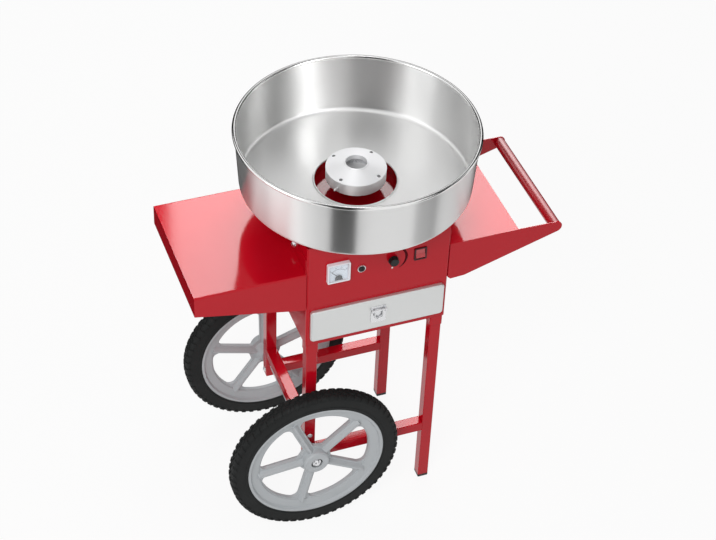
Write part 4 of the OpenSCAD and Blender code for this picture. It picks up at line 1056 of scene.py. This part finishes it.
# %% Heat scale and zero dot
KNOB = JOINT_AT["knob_turn"]
CRESCENT_R, CRESCENT_W, CRESCENT_TIP = 31 * MM, 5 * MM, 0.8 * MM
CRESCENT_FROM, CRESCENT_TO, CRESCENT_STEPS = 75, -62, 40
ZERO_DROP, ZERO_R, ZERO_SIDES = 24 * MM, 2.2 * MM, 24


def heat_scale():
    """The printed crescent that grows with the heat."""
    def width(share):
        return CRESCENT_TIP + CRESCENT_W * math.sin(math.pi * share)

    maker = bmesh.new()
    crescent = band_arc(CRESCENT_R, width, CRESCENT_FROM, CRESCENT_TO, CRESCENT_STEPS)
    prism(maker, crescent, facing_front(*KNOB), INK)
    piece("heat_scale", maker, maroon_ink, "cart")


def zero_dot():
    maker = bmesh.new()
    prism(maker, circle((0, -ZERO_DROP), ZERO_R, ZERO_SIDES), facing_front(*KNOB), INK)
    piece("zero_dot", maker, white_ink, "cart")


heat_scale()
zero_dot()

# %% [markdown]
# ## Drawer front
# The drawer's front is a sheet folded over on all four sides. A fold has a radius, and along an edge that
# radius mirrors whatever stands above it as a thin line. The front is lofted through a stack of rectangles
# with round corners, each a little smaller than the last as the edge turns over, and the hollow behind it
# is the same stack on the way back.

# %% Drawer front
front_low, front_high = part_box("drawer_front")
FRONT_CORNER = 8 * MM
FRONT_FOLD = 3.4 * MM
FRONT_SHEET = 1.5 * MM
FOLD_STEPS = 6


def round_rectangle(width, height, radius, steps=8):
    """Outline of a rectangle with round corners, centred."""
    x, y = width / 2 - radius, height / 2 - radius
    corners = [((x, y), 0), ((-x, y), 90), ((-x, -y), 180), ((x, -y), 270)]
    return [p for centre, start in corners for p in arc(centre, radius, start, start + 90, steps)]


def folded_front():
    maker = bmesh.new()
    width, depth, height = front_high - front_low

    def layer(inset, level):
        return round_rectangle(width - 2 * inset, height - 2 * inset, FRONT_CORNER - inset), level

    layers = [layer(FRONT_SHEET, depth - FRONT_SHEET), layer(FRONT_SHEET, 0), layer(0, 0)]
    for k in range(FOLD_STEPS + 1):
        a = math.pi / 2 * k / FOLD_STEPS
        layers.append(layer(FRONT_FOLD * (1 - math.cos(a)), depth - FRONT_FOLD * (1 - math.sin(a))))
    middle = (front_low + front_high) / 2
    loft(maker, layers, facing_front(middle.x, front_high.y, middle.z))
    piece("folded_front", maker, plate, "drawer", ["drawer_front"])


folded_front()

# %% [markdown]
# ## Grip and axle
# A round bar shows every facet in its long highlight, so the grip and the axle are drawn again with many
# sides, each from the box of the solid that it stands for. The grip lies between dark cards, which would
# leave it dull, so a broad lamp of its own gives its top the pale sheen of new enamel.

# %% Grip and axle
BAR_SEGMENTS = 96


def round_bar(name, node, finish):
    """A fine bar in the place of a round solid that runs from front to back."""
    low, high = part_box(node)
    middle = (low + high) / 2
    maker = bmesh.new()
    outline = circle((0, 0), (high.z - low.z) / 2, BAR_SEGMENTS)
    prism(maker, outline, facing_front(middle.x, high.y, middle.z), high.y - low.y)
    return piece(name, maker, finish, "cart", [node])


grip = round_bar("smooth_grip", "handle_bar", tube_enamel)
round_bar("turned_axle", "axle", plating)
grip_middle = sum(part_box("handle_bar"), Vector()) / 2
grip_gloss = soft_box("grip_gloss", place=(0.95, 1.25, 1.25), aim=grip_middle,
                      width=1.9, height=1.2, watts=11)
grip_gloss.visible_diffuse = False
reach_only(grip_gloss, [grip])
